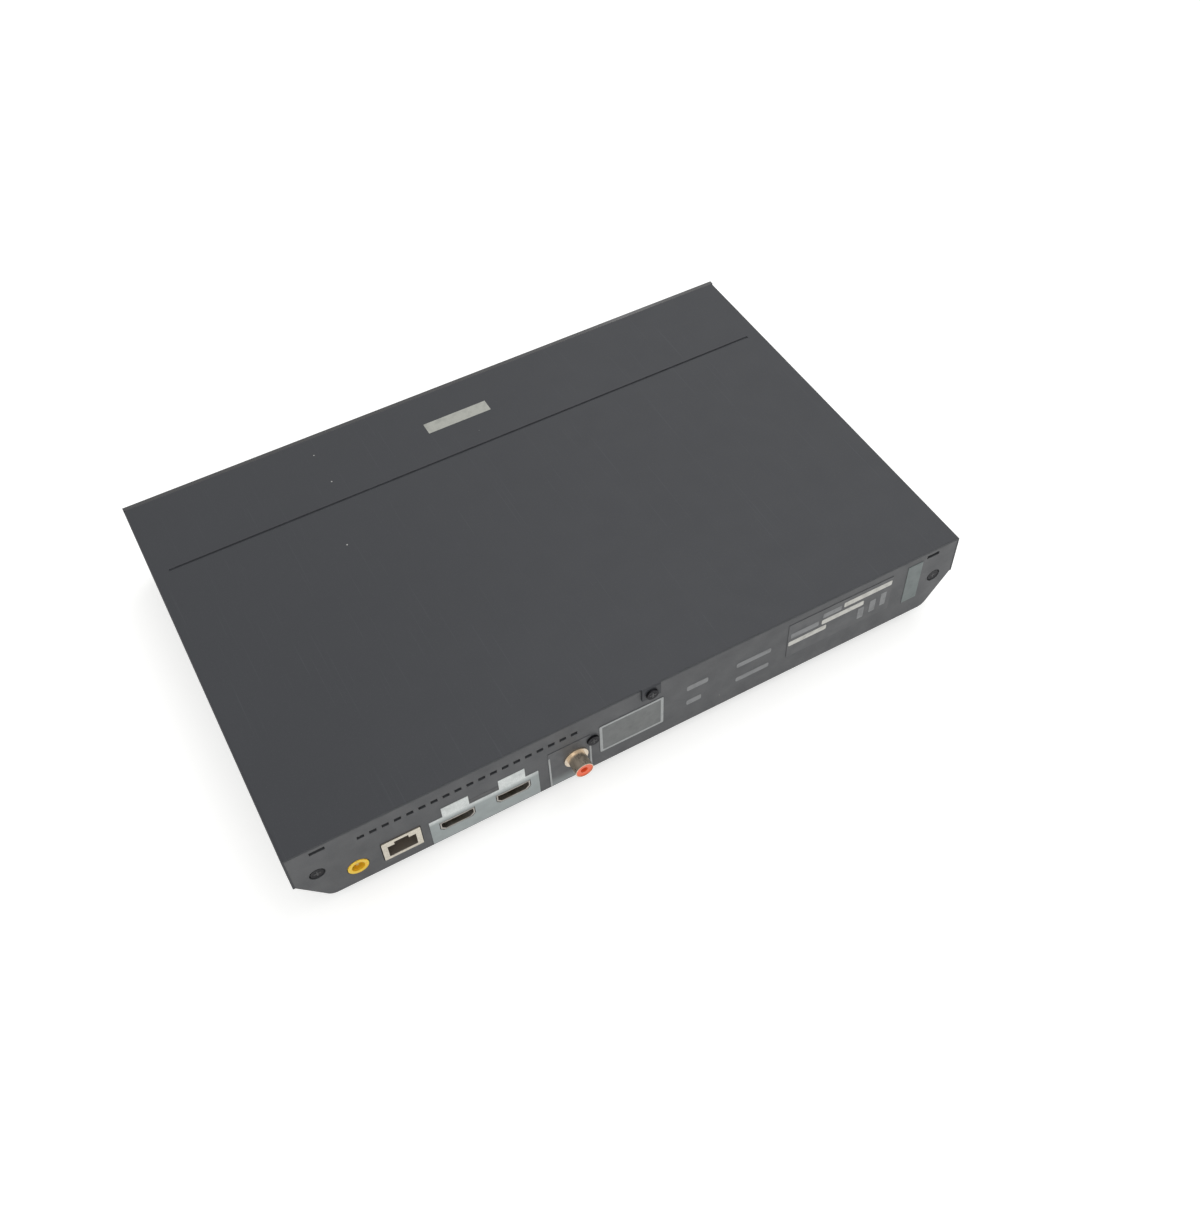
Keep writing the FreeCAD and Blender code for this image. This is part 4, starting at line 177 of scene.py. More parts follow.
class Finish:
    """One procedural material, whose patterns are measured in millimetres on the part."""

    def __init__(self, name, **sockets):
        self.material = bpy.data.materials.new(name)
        self.material.use_nodes = True
        self.tree = self.material.node_tree
        self.shader = self.tree.nodes["Principled BSDF"]
        for socket, value in sockets.items():
            self.shader.inputs[socket.replace("_", " ")].default_value = value
        self.spot = self.put("ShaderNodeTexCoord").outputs["Object"]
        self.normal = None

    def put(self, kind, inputs=None, **settings):
        """Add a node, set what it is told, and feed its inputs with values or links."""
        node = self.tree.nodes.new(kind)
        for key, value in settings.items():
            setattr(node, key, value)
        for key, value in (inputs or {}).items():
            self.feed(node.inputs[key], value)
        return node

    def feed(self, socket, value):
        """Link a socket to another one, or give it a value."""
        if isinstance(value, bpy.types.NodeSocket):
            self.tree.links.new(value, socket)
        elif isinstance(value, tuple) and socket.type == "RGBA":
            socket.default_value = (*value[:3], 1.0)
        else:
            socket.default_value = value

    def stretched(self, size, stretch):
        """Give the place on the part, scaled so that a pattern's features are size across."""
        scale = tuple(1 / (MM * size * share) for share in stretch)
        return self.put("ShaderNodeMapping", {"Vector": self.spot, "Scale": scale}).outputs[0]

    def noise(self, size, detail, stretch=(1, 1, 1)):
        """Soft random values from 0 to 1."""
        spot = self.stretched(size, stretch)
        inputs = {"Vector": spot, "Scale": 1.0, "Detail": detail}
        return self.put("ShaderNodeTexNoise", inputs).outputs[0]

    def cells(self, size, output="Distance"):
        """Scattered cells: the distance to each one's centre, or a random colour of its own."""
        inputs = {"Vector": self.stretched(size, (1, 1, 1)), "Scale": 1.0}
        return self.put("ShaderNodeTexVoronoi", inputs).outputs[output]

    def along(self, axis):
        """Give the place along one axis of the part, in metres."""
        return self.put("ShaderNodeSeparateXYZ", {"Vector": self.spot}).outputs[axis]

    def sum(self, operation, first, second=0.0):
        """Work out one step of arithmetic."""
        return self.put("ShaderNodeMath", {0: first, 1: second}, operation=operation).outputs[0]

    def stripes(self, axis, pitch, share, soft=0.08):
        """Give 1 on even lines across an axis, with the share of the pitch that they take up."""
        wave = self.sum("PINGPONG", self.sum("MULTIPLY", self.along(axis), 2 / (MM * pitch)), 1.0)
        return self.spread(wave, share - soft, share + soft, 1.0, 0.0)

    def spread(self, value, low, high, to_low=0.0, to_high=1.0):
        """Carry a range of values over to another one, held at its ends."""
        inputs = {
            "Value": value, "From Min": low, "From Max": high, "To Min": to_low, "To Max": to_high,
        }
        return self.put("ShaderNodeMapRange", inputs).outputs[0]

    def mix(self, share, first, second):
        """Blend two colours by a share."""
        node = self.put("ShaderNodeMix", {0: share, 6: first, 7: second}, data_type="RGBA")
        return node.outputs[2]

    def edges(self, radius):
        """Soften the corners that catch light, and give 1 where they are."""
        bevel = self.put("ShaderNodeBevel", {"Radius": radius * MM}, samples=4).outputs[0]
        flat = self.put("ShaderNodeNewGeometry").outputs["Normal"]
        turned = self.put("ShaderNodeVectorMath", {0: bevel, 1: flat}, operation="DOT_PRODUCT")
        self.normal = bevel
        return self.spread(turned.outputs["Value"], 0.99, 0.86)

    def relief(self, height, depth, strength):
        """Raise the surface by a pattern."""
        inputs = {"Height": height, "Distance": depth * MM, "Strength": strength}
        node = self.put("ShaderNodeBump", inputs)
        if self.normal is not None:
            self.feed(node.inputs["Normal"], self.normal)
        self.normal = node.outputs[0]

    def done(self, colour, roughness):
        """Wire the pattern colour, the roughness and the relief to the shader."""
        self.feed(self.shader.inputs["Base Color"], colour)
        self.feed(self.shader.inputs["Roughness"], roughness)
        if self.normal is not None:
            self.feed(self.shader.inputs["Normal"], self.normal)
        return self.material


# Families of materials

def painted(name, colour, roughness=0.5):
    """Powder paint on sheet steel: fine orange peel, hair scratches, smudges and stray dust."""
    finish = Finish(name, Specular_IOR_Level=0.32)
    worn = finish.edges(0.35)
    cloud = finish.spread(finish.noise(90, 2), 0.3, 0.7)
    tone = finish.mix(cloud, tint(colour, 0.97), tint(colour, 1.03))
    fleck = finish.spread(finish.noise(0.55, 1), 0.58, 0.80, 0.0, 0.35)
    tone = finish.mix(fleck, tone, tint(colour, 1.7))
    scratch = finish.spread(finish.noise(1.0, 1, (0.5, 60, 8)), 0.705, 0.75, 0.0, 0.16)
    tone = finish.mix(scratch, tone, tint(colour, 2.4))
    dust = finish.spread(finish.cells(26), 0.011, 0.016, 0.75, 0.0)
    tone = finish.mix(dust, tone, (0.55, 0.55, 0.53))
    # Edges lightened in patches: partly paint worn through, partly a painted highlight along the
    # edges.
    edge_patches = finish.spread(finish.noise(7, 3), 0.46, 0.68, 0.04, 0.6)
    wear_and_highlight = finish.sum("MULTIPLY", worn, edge_patches)
    tone = finish.mix(wear_and_highlight, tone, tint(colour, 2.6))
    smudge = finish.spread(finish.noise(12, 3), 0.35, 0.68, roughness - 0.012, roughness + 0.016)
    finish.relief(finish.noise(0.9, 2), 0.030, 0.30)
    return finish.done(tone, smudge)


def moulded(name, colour, roughness=0.5, grain=0.45, depth=0.035, wear_and_highlight_share=0.5, **sockets):
    """Moulded plastic: spark-eroded grain, slow flow shading, corners lightened by wear and painted
    highlight, and faint dust.
    """
    finish = Finish(name, **sockets)
    worn = finish.edges(0.3)
    flow = finish.spread(finish.noise(24, 3, (2, 1, 1)), 0.3, 0.7)
    tone = finish.mix(flow, tint(colour, 0.88), tint(colour, 1.12))
    pit = finish.spread(finish.noise(grain, 1), 0.35, 0.65)
    tone = finish.mix(finish.sum("MULTIPLY", pit, 0.35), tone, tint(colour, 1.35))
    # Edges lightened in patches: partly worn, partly a painted highlight along the edges.
    edge_patches = finish.spread(finish.noise(5, 3), 0.40, 0.68, 0.0, wear_and_highlight_share)
    wear_and_highlight = finish.sum("MULTIPLY", worn, edge_patches)
    tone = finish.mix(wear_and_highlight, tone, tint(colour, 2.6))
    dust = finish.spread(finish.cells(17), 0.014, 0.020, 0.5, 0.0)
    tone = finish.mix(dust, tone, (0.42, 0.42, 0.40))
    patchy = finish.spread(finish.noise(9, 3), 0.3, 0.7, roughness - 0.08, roughness + 0.08)
    finish.relief(finish.noise(grain, 1), depth, 0.45)
    return finish.done(tone, patchy)


def plated(name, colour, roughness=0.28, brush=(1, 1, 14), size=0.3):
    """Plated or ground metal: drawn lines along one axis, dull patches and darker stains."""
    finish = Finish(name, Metallic=1.0)
    lines = finish.noise(size, 2, brush)
    stain = finish.spread(finish.noise(6, 4), 0.48, 0.75, 0.0, 0.45)
    tone = finish.mix(finish.spread(lines, 0.3, 0.7), tint(colour, 0.86), tint(colour, 1.08))
    tone = finish.mix(stain, tone, tint(colour, 0.62))
    dull = finish.spread(finish.noise(4, 3), 0.3, 0.7, roughness - 0.06, roughness + 0.14)
    finish.relief(lines, 0.012, 0.4)
    return finish.done(tone, dull)


def soft_rubber(name, colour):
    """Black rubber: matt grain and pale bloom."""
    finish = Finish(name, Sheen_Weight=0.25, Sheen_Roughness=0.5)
    bloom = finish.spread(finish.noise(5, 4), 0.45, 0.75, 0.0, 0.4)
    tone = finish.mix(bloom, colour, tint(colour, 2.2))
    finish.relief(finish.noise(0.35, 2), 0.05, 0.6)
    return finish.done(tone, finish.spread(finish.noise(3, 2), 0.3, 0.7, 0.72, 0.9))


def printed(name, colour, roughness, worn):
    """Screen printing: a thin printed film with pinholes, thin spots and a fine dot pattern."""
    finish = Finish(name)
    thin = finish.spread(finish.noise(3.5, 4), 0.50, 0.78, 0.0, worn)
    tone = finish.mix(thin, colour, tint(REAR_GREY, 1.1))
    dots = finish.spread(finish.cells(0.7), 0.25, 0.6, 0.0, 0.22)
    tone = finish.mix(dots, tone, tint(colour, 0.72))
    finish.relief(finish.noise(0.5, 2), 0.02, 0.4)
    patchy = finish.spread(finish.noise(5, 2), 0.3, 0.7, roughness - 0.07, roughness + 0.1)
    return finish.done(tone, patchy)


def acetal(name, colour):
    """Natural gear plastic: waxy, with flow marks and a trace of grease."""
    finish = Finish(name, Subsurface_Weight=0.12, Subsurface_Scale=0.002)
    worn = finish.edges(0.15)
    flow = finish.spread(finish.noise(4, 4, (1, 1, 3)), 0.35, 0.7)
    tone = finish.mix(flow, tint(colour, 0.9), tint(colour, 1.06))
    grease = finish.spread(finish.noise(2.2, 3), 0.60, 0.74, 0.0, 0.35)
    tone = finish.mix(grease, tone, tint(colour, 0.6))
    # Edges lightened evenly: partly wear, partly a painted highlight along the edges.
    tone = finish.mix(finish.sum("MULTIPLY", worn, 0.4), tone, tint(colour, 1.15))
    finish.relief(finish.noise(0.3, 2), 0.012, 0.4)
    return finish.done(tone, finish.spread(finish.noise(2.2, 3), 0.55, 0.75, 0.42, 0.16))


def circuit_board(name):
    """Solder mask over copper: bundles of tracks in two directions, pads, and holes painted as
    black spots of shade.
    """
    finish = Finish(name, Coat_Weight=0.3, Coat_Roughness=0.2)
    mask = (0.012, 0.10, 0.040)
    track = (0.030, 0.19, 0.075)
    region = finish.spread(finish.cells(11, "Color"), 0.48, 0.52)
    across = finish.stripes(X, 1.3, 0.34)
    lengthwise = finish.stripes(Y, 1.3, 0.34)
    tracks = finish.mix(region, across, lengthwise)
    bundle = finish.spread(finish.noise(9, 1), 0.44, 0.50)
    tone = finish.mix(finish.sum("MULTIPLY", tracks, bundle), mask, track)
    pads = finish.spread(finish.cells(3.1), 0.12, 0.15, 1.0, 0.0)
    tone = finish.mix(pads, tone, (0.62, 0.60, 0.55))
    # The holes are not cut: the black spots in the pads are painted shade.
    hole_shade = finish.spread(finish.cells(3.1), 0.05, 0.065, 1.0, 0.0)
    tone = finish.mix(hole_shade, tone, (0.01, 0.01, 0.01))
    finish.feed(finish.shader.inputs["Metallic"], finish.sum("MULTIPLY", pads, 0.9))
    finish.relief(finish.sum("MULTIPLY", tracks, bundle), 0.035, 0.7)
    return finish.done(tone, finish.spread(finish.noise(4, 3), 0.3, 0.7, 0.26, 0.42))


def flat_cable(name, axis):
    """White flat cable: parallel conductors under a thin glossy jacket, with patches of grime."""
    finish = Finish(name)
    cores = finish.stripes(axis, 1.0, 0.55, 0.16)
    grime = finish.spread(finish.noise(12, 3), 0.4, 0.8, 0.0, 0.2)
    tone = finish.mix(cores, (0.78, 0.78, 0.75), (0.66, 0.68, 0.69))
    tone = finish.mix(grime, tone, (0.52, 0.50, 0.46))
    finish.relief(cores, 0.05, 0.7)
    return finish.done(tone, finish.spread(finish.noise(3, 2), 0.3, 0.7, 0.3, 0.45))


def tinted(name, colour, roughness, clear):
    """Tinted or clear moulded window: hazy inside, with light surface scuffs."""
    finish = Finish(name, Transmission_Weight=clear, IOR=1.49)
    haze = finish.spread(finish.noise(2.5, 4), 0.35, 0.75)
    tone = finish.mix(haze, colour, tint(colour, 1.5))
    scuff = finish.spread(finish.noise(0.6, 2, (1, 1, 14)), 0.60, 0.70, roughness, roughness + 0.25)
    finish.relief(finish.noise(0.7, 2), 0.006, 0.3)
    return finish.done(tone, scuff)


def video_print(name):
    """The printed field round the video sockets, brighter on the two steps above them."""
    finish = Finish(name)
    step_level = finish.spread(finish.along(Z), STEP_RISE[0] * MM, STEP_RISE[1] * MM)
    tone = finish.mix(step_level, PRINT_GREY, PRINT_WHITE)
    thin = finish.spread(finish.noise(4, 4), 0.45, 0.78, 0.0, 0.35)
    tone = finish.mix(thin, tone, tint(PRINT_GREY, 0.66))
    dots = finish.spread(finish.cells(0.7), 0.25, 0.6, 0.0, 0.18)
    tone = finish.mix(dots, tone, tint(PRINT_GREY, 0.8))
    finish.relief(finish.noise(0.5, 2), 0.02, 0.4)
    return finish.done(tone, finish.spread(finish.noise(6, 2), 0.3, 0.7, 0.36, 0.5))


def coax_print(name):
    """The dark field round the coaxial jack, with its paler foot."""
    finish = Finish(name)
    foot = finish.spread(finish.along(Z), FOOT_FALL[0] * MM, FOOT_FALL[1] * MM, 0.0, 0.55)
    shade = finish.spread(finish.noise(5, 3), 0.35, 0.7)
    tone = finish.mix(shade, tint(REAR_GREY, 0.9), tint(REAR_GREY, 1.25))
    tone = finish.mix(foot, tone, PRINT_GREY)
    finish.relief(finish.noise(0.5, 2), 0.02, 0.4)
    return finish.done(tone, finish.spread(finish.noise(6, 2), 0.3, 0.7, 0.4, 0.55))


def rating_print(name):
    """The worn dark label ground, and the paler blank patch beyond its far end."""
    finish = Finish(name)
    patch = finish.spread(finish.along(X), PATCH_EDGE[0] * MM, PATCH_EDGE[1] * MM)
    shade = finish.spread(finish.noise(7, 3), 0.35, 0.7)
    tone = finish.mix(shade, tint(REAR_GREY, 0.95), tint(REAR_GREY, 1.2))
    tone = finish.mix(patch, tone, PATCH_GREY)
    thin = finish.spread(finish.noise(3.5, 4), 0.50, 0.78, 0.0, 0.4)
    tone = finish.mix(thin, tone, tint(REAR_GREY, 1.1))
    finish.relief(finish.noise(0.5, 2), 0.02, 0.4)
    return finish.done(tone, finish.spread(finish.noise(5, 2), 0.3, 0.7, 0.38, 0.52))


def coated_lens(name, level):
    """A black holder whose two lenses, above a level, carry a blue-violet coating."""
    finish = Finish(name, Coat_Weight=1.0, Coat_Roughness=0.03)
    glass = finish.spread(finish.along(Z), level, level + LEVEL_BLEND * MM)
    sheen = finish.spread(finish.noise(1.6, 2), 0.35, 0.7)
    coating = finish.mix(sheen, (0.05, 0.08, 0.32), (0.20, 0.06, 0.36))
    grain = finish.spread(finish.noise(0.5, 2), 0.3, 0.7)
    body = finish.mix(grain, (0.02, 0.02, 0.022), (0.05, 0.05, 0.052))
    finish.relief(finish.noise(0.4, 1), 0.01, 0.2)
    return finish.done(finish.mix(glass, body, coating), finish.spread(glass, 0.0, 1.0, 0.5, 0.05))


def shrink_sleeve(name, level):
    """A capacitor: dark sleeve with a pale stripe, and a bare scored top above a level."""
    finish = Finish(name)
    top = finish.spread(finish.along(Z), level - 2 * LEVEL_BLEND * MM, level - LEVEL_BLEND * MM)
    stripe = finish.spread(finish.noise(5, 0, (1, 1, 30)), 0.60, 0.62)
    tone = finish.mix(stripe, (0.02, 0.022, 0.045), (0.55, 0.56, 0.58))
    tone = finish.mix(top, tone, (0.62, 0.62, 0.63))
    finish.feed(finish.shader.inputs["Metallic"], finish.sum("MULTIPLY", top, 0.9))
    finish.relief(finish.noise(0.6, 2), 0.02, 0.4)
    return finish.done(tone, finish.spread(finish.noise(2, 2), 0.3, 0.7, 0.26, 0.4))


LENS_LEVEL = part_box("lens_holder")[1][Z] - GLASS_RISE * MM
CAN_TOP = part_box("capacitors")[1][Z]

# The finish of each material slot of the record
FINISHES = {
    "cover_paint": painted("cover_paint", COVER_GREY),
    "chassis_paint": painted("chassis_paint", (0.032, 0.034, 0.038), 0.54),
    "front_plastic": moulded("front_plastic", (0.018, 0.018, 0.020), 0.24, 0.6, 0.010, 0.3,
                             Coat_Weight=0.4, Coat_Roughness=0.08),
    "rear_plastic": moulded("rear_plastic", REAR_GREY, 0.52),
    "badge_plastic": printed("badge_plastic", (0.37, 0.375, 0.34), 0.4, 0.35),
    "field_print": video_print("field_print"),
    "label_print": printed("label_print", (0.130, 0.137, 0.136), 0.42, 0.5),
    "rubber": soft_rubber("rubber", (0.022, 0.022, 0.023)),
    "screw_steel": plated("screw_steel", (0.62, 0.62, 0.60), 0.3, (1, 1, 1), 0.5),
    "screw_black": plated("screw_black", (0.026, 0.026, 0.029), 0.46, (1, 1, 1), 0.5),
    "socket_black": moulded("socket_black", (0.018, 0.018, 0.020), 0.42, 0.3, 0.015),
    "socket_steel": plated("socket_steel", (0.80, 0.78, 0.74), 0.24, (1, 12, 1)),
    "yellow_plastic": moulded("yellow_plastic", (0.96, 0.56, 0.030), 0.4, 0.4, 0.015, 0.2,
                              Subsurface_Weight=0.25, Subsurface_Scale=0.002),
    "orange_plastic": moulded("orange_plastic", (0.88, 0.13, 0.045), 0.38, 0.4, 0.015, 0.2,
                              Subsurface_Weight=0.06, Subsurface_Scale=0.001),
    "board_green": circuit_board("board_green"),
    "chip_black": moulded("chip_black", (0.022, 0.022, 0.024), 0.55, 0.25, 0.02),
    "sink_aluminium": plated("sink_aluminium", (0.74, 0.75, 0.77), 0.38, (1, 20, 1)),
    "can_sleeve": shrink_sleeve("can_sleeve", CAN_TOP),
    "shield_steel": plated("shield_steel", (0.72, 0.72, 0.73), 0.26, (1, 1, 1), 0.8),
    "cable_white": flat_cable("cable_white", X),
    "loader_black": moulded("loader_black", (0.022, 0.022, 0.024), 0.46, 0.5, 0.03),
    "gear_ivory": acetal("gear_ivory", (0.74, 0.71, 0.62)),
    "motor_steel": plated("motor_steel", (0.66, 0.66, 0.67), 0.26, (1, 1, 20)),
    "magnet": plated("magnet", (0.26, 0.26, 0.28), 0.5, (1, 1, 1), 0.6),
    "bridge_steel": plated("bridge_steel", (0.68, 0.69, 0.70), 0.34, (20, 1, 1)),
    "rod_steel": plated("rod_steel", (0.80, 0.80, 0.81), 0.12, (1, 0.4, 1)),
    "sled_metal": plated("sled_metal", (0.42, 0.42, 0.44), 0.5, (1, 1, 1), 0.7),
    "lens_glass": coated_lens("lens_glass", LENS_LEVEL),
    "window_plastic": tinted("window_plastic", (0.060, 0.006, 0.008), 0.06, 0.25),
    "light_clear": tinted("light_clear", (0.78, 0.84, 0.84), 0.25, 0.8),
}

VIDEO_SHELL = plated("video_shell", (0.40, 0.38, 0.35), 0.36, (1, 12, 1))

# Nodes whose look differs from the rest of their slot
OWN_FINISHES = {
    "coax_field": coax_print("coax_print"),
    "rating_labels": rating_print("rating_print"),
    "network_jack": moulded("network_brown", (0.125, 0.108, 0.090), 0.5, 0.3, 0.015, 0.3),
    "video_socket_left": VIDEO_SHELL,
    "video_socket_right": VIDEO_SHELL,
    "coax_sleeve": plated("coax_nickel", (0.70, 0.60, 0.48), 0.26, (1, 14, 1)),
    "power_centre_pin": plated("pin_brass", (0.62, 0.42, 0.16), 0.3, (1, 14, 1)),
    "cable_sockets": moulded("cable_socket_white", (0.70, 0.69, 0.64), 0.4, 0.3, 0.01, 0.2),
}


def dress_nodes():
    """Give every CAD node the finish of its slot, or its own."""
    for row in frame["record"]["subparts"]:
        finish = OWN_FINISHES.get(row["node"], FINISHES[row["material_slot"]])
        for slot in frame["nodes"][row["node"]].material_slots:
            slot.material = finish


# Outlines and plates

def rounded(left, right, base, top, corner=0.0, steps=5):
    """Give the points of a rectangle with round corners, in millimetres."""
    if corner <= 0:
        return [(left, base), (right, base), (right, top), (left, top)]
    points = []
    corners = ((right, top, 0), (left, top, 90), (left, base, 180), (right, base, 270))
    for u, v, start in corners:
        middle_u = u - math.copysign(corner, u - (left + right) / 2)
        middle_v = v - math.copysign(corner, v - (base + top) / 2)
        for step in range(steps + 1):
            angle = math.radians(start + 90 * step / steps)
            points.append((middle_u + corner * math.cos(angle),
                           middle_v + corner * math.sin(angle)))
    return points


def rear_face(level):
    """Lay (u, v, w) on the rear: u along X, v up, and w outward from a level."""
    return Matrix(((1, 0, 0, 0), (0, 0, 1, level), (0, 1, 0, 0), (0, 0, 0, 1)))


def front_face(level):
    """Lay (u, v, w) on the front: u along X, v up, and w outward from a level."""
    return Matrix(((1, 0, 0, 0), (0, 0, -1, level), (0, 1, 0, 0), (0, 0, 0, 1)))


def keep_piece(name, mesh, finish, body="root"):
    """Make a mesh a piece of the part that rides on a body."""
    mesh.materials.clear()
    mesh.materials.append(finish)
    piece = bpy.data.objects.new(name, mesh)
    bpy.context.collection.objects.link(piece)
    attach(piece, body)
    return piece


def plates(name, shapes, thick, place, finish, edge=0.0, body="root"):
    """Cut thin plates from closed outlines, holes included, and lay them on a face."""
    curve = bpy.data.curves.new(f"{name}_outline", "CURVE")
    curve.dimensions = "2D"
    curve.fill_mode = "BOTH"
    curve.extrude = (thick / 2 - edge) * MM
    curve.bevel_depth = edge * MM
    curve.bevel_resolution = 1
    curve.offset = -edge * MM
    for points in shapes:
        spline = curve.splines.new("POLY")
        spline.points.add(len(points) - 1)
        for point, (u, v) in zip(spline.points, points):
            point.co = (u * MM, v * MM, 0, 1)
        spline.use_cyclic_u = True
    carrier = bpy.data.objects.new(f"{name}_carrier", curve)
    bpy.context.collection.objects.link(carrier)
    bpy.context.view_layer.update()
    solid = carrier.evaluated_get(bpy.context.evaluated_depsgraph_get())
    mesh = bpy.data.meshes.new_from_object(solid)
    bpy.data.objects.remove(carrier)
    mesh.transform(place @ Matrix.Translation((0, 0, thick / 2 * MM)))
    form = bmesh.new()
    form.from_mesh(mesh)
    bmesh.ops.remove_doubles(form, verts=form.verts, dist=WELD)
    bmesh.ops.recalc_face_normals(form, faces=form.faces)
    form.to_mesh(mesh)
    form.free()
    return keep_piece(name, mesh, finish, body)


def strips(name, paths, wide, thick, finish):
    """Bend thin contact strips along paths of places, wide along X."""
    form = bmesh.new()
    side = Vector((wide / 2 * MM, 0, 0))
    for path in paths:
        spots = [Vector(spot) * MM for spot in path]
        rings = []
        for index, spot in enumerate(spots):
            before = spots[max(index - 1, 0)]
            after = spots[min(index + 1, len(spots) - 1)]
            up = (after - before).cross(side).normalized() * (thick / 2 * MM)
            rings.append([form.verts.new(spot + offset)
                          for offset in (-side - up, side - up, side + up, -side + up)])
        for low, high in zip(rings, rings[1:]):
            for index in range(len(low)):
                beside = (index + 1) % len(low)
                form.faces.new((low[index], low[beside], high[beside], high[index]))
        form.faces.new(reversed(rings[0]))
        form.faces.new(rings[-1])
    bmesh.ops.recalc_face_normals(form, faces=form.faces)
    mesh = bpy.data.meshes.new(name)
    form.to_mesh(mesh)
    form.free()
    return keep_piece(name, mesh, finish)


def corners_of(node):
    """Give a CAD node's lowest and highest corners in millimetres."""
    low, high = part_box(node)
    return [part / MM for part in low], [part / MM for part in high]


def spaced(middle, count, pitch):
    """Give evenly spaced places about a middle."""
    return [middle + (index - (count - 1) / 2) * pitch for index in range(count)]


CREAM_TIN = plated("cream_tin", (0.62, 0.58, 0.50), 0.45, (1, 1, 1), 0.8)
GOLD_PLATE = plated("gold_plate", GOLD, 0.2, (1, 10, 1))
PRINT_LINES = printed("print_lines", LINE_GREY, 0.4, 0.35)
PRINT_STRIPES = printed("print_stripes", STRIPE_GREY, 0.4, 0.45)
PRINT_MARKS = printed("print_marks", MARK_GREY, 0.4, 0.6)
PRINT_ICONS = printed("print_icons", ICON_GREY, 0.4, 0.2)
DARK_BAND = printed("dark_band", (0.045, 0.046, 0.048), 0.4, 0.2)
REAR = corners_of("rear_panel")[1][Y]


# Rear jacks

def dress_network_jack():
    """Put the tin-plated shield and the spring contacts on the network jack."""
    low, high = corners_of("network_jack")
    middle = (low[X] + high[X]) / 2
    sill = low[Z] + MOUTH_SILL
    shelf = sill + MOUTH_TALL
    notch = shelf + NOTCH_TALL
    mouth = [
        (middle - MOUTH_HALF, sill), (middle + MOUTH_HALF, sill),
        (middle + MOUTH_HALF, shelf), (middle + NOTCH_HALF, shelf),
        (middle + NOTCH_HALF, notch), (middle - NOTCH_HALF, notch),
        (middle - NOTCH_HALF, shelf), (middle - MOUTH_HALF, shelf),
    ]
    rim = rounded(low[X], high[X], low[Z], high[Z], SHIELD_CORNER)
    plates("network_shield", [rim, mouth], SHIELD_THICK, rear_face(high[Y] * MM),
           CREAM_TIN, SHIELD_EDGE)
    paths = [[(place, high[Y] - inset, shelf - drop) for inset, drop in WIRE_BENDS]
             for place in spaced(middle, WIRE_COUNT, WIRE_PITCH)]
    strips("network_contacts", paths, WIRE_WIDE, WIRE_THICK, GOLD_PLATE)


def dress_tongue(name, node, level, count, pitch, wide, ends):
    """Lay slightly crowned contact strips at a level of a socket's tongue, between two ends."""
    low, high = corners_of(node)
    back, front = ends
    places = spaced((low[X] + high[X]) / 2, count, pitch)
    paths = [[(place, back, level), (place, (back + front) / 2, level + CONTACT_CROWN),
              (place, front, level)] for place in places]
    strips(name, paths, wide, CONTACT_THICK, GOLD_PLATE)


def dress_video_sockets():
    """Lay the contacts over and under the tongue of each video socket."""
    layers = (("upper", VIDEO_TONGUE + CONTACT_LIFT, 10), ("lower", -CONTACT_LIFT, 9))
    for side in ("left", "right"):
        node = f"video_socket_{side}"
        high = corners_of(node)[1]
        middle = high[Z] - VIDEO_WALL - VIDEO_MOUTH_TALL / 2
        ends = [high[Y] - inset for inset in VIDEO_INSETS]
        for layer, rise, count in layers:
            dress_tongue(f"video_contacts_{side}_{layer}", node, middle + rise, count,
                         VIDEO_PITCH, VIDEO_WIDE, ends)


def dress_usb_socket():
    """Lay the four contacts under the tongue of the USB socket."""
    low, high = corners_of("usb_socket")
    tongue_base = (low[Z] + high[Z]) / 2
    dress_tongue("usb_contacts", "usb_socket", tongue_base - CONTACT_LIFT, USB_COUNT,
                 USB_PITCH, USB_WIDE, [low[Y] + inset for inset in USB_INSETS])


# Prints and bare labels

def print_rear():
    """Print the plain frames, bars and stripes that fill the label places, and lay a dark band
    between the video steps.
    """
    label_place = rear_face((REAR + LABEL_SKIN) * MM)
    panel_place = rear_face(REAR * MM)

    low, high = corners_of("blank_label")
    side, end = FRAME_LINE
    plates("label_frame", [
        rounded(low[X], high[X], low[Z], high[Z], FRAME_CORNERS[0]),
        rounded(low[X] + side, high[X] - side, low[Z] + end, high[Z] - end, FRAME_CORNERS[1]),
    ], INK, label_place, PRINT_LINES)

    low, high = corners_of("coax_field")
    line_top = high[Z] - COAX_LINE_DROP
    plates("coax_lines", [
        rounded(low[X], low[X] + COAX_LINE, low[Z], line_top),
        rounded(high[X] - COAX_LINE, high[X], low[Z], line_top),
    ], INK, label_place, PRINT_LINES)

    # A dark band laid between the two steps above the video sockets.
    first = corners_of("video_field")[0][X] + STEP_INSET + STEP_HALF
    plates("video_band", [rounded(first, first + BAND_LONG, *BAND_LEVELS, BAND_CORNER)],
           INK, panel_place, DARK_BAND)

    top = corners_of("rating_labels")[1][Z]
    rating_prints = (
        ("rating_stripes", RATING_STRIPES, STRIPE_CORNER, PRINT_STRIPES),
        ("rating_bars", RATING_BARS, BAR_CORNER, PRINT_MARKS),
    )
    for name, bars, corner, finish in rating_prints:
        shapes = [rounded(left, right, top - base, top - head, corner)
                  for left, right, base, head in bars]
        plates(name, shapes, INK, label_place, finish)
    plates("mark_bars", [rounded(*bar, MARK_CORNER) for bar in MARK_BARS],
           INK, panel_place, PRINT_MARKS)


def cross(u, v, arm, wide):
    """Give the outline of a cross-shaped recess."""
    half = wide / 2
    return [
        (u - half, v - arm), (u + half, v - arm), (u + half, v - half), (u + arm, v - half),
        (u + arm, v + half), (u + half, v + half), (u + half, v + arm), (u - half, v + arm),
        (u - half, v + half), (u - arm, v + half), (u - arm, v - half), (u - half, v - half),
    ]


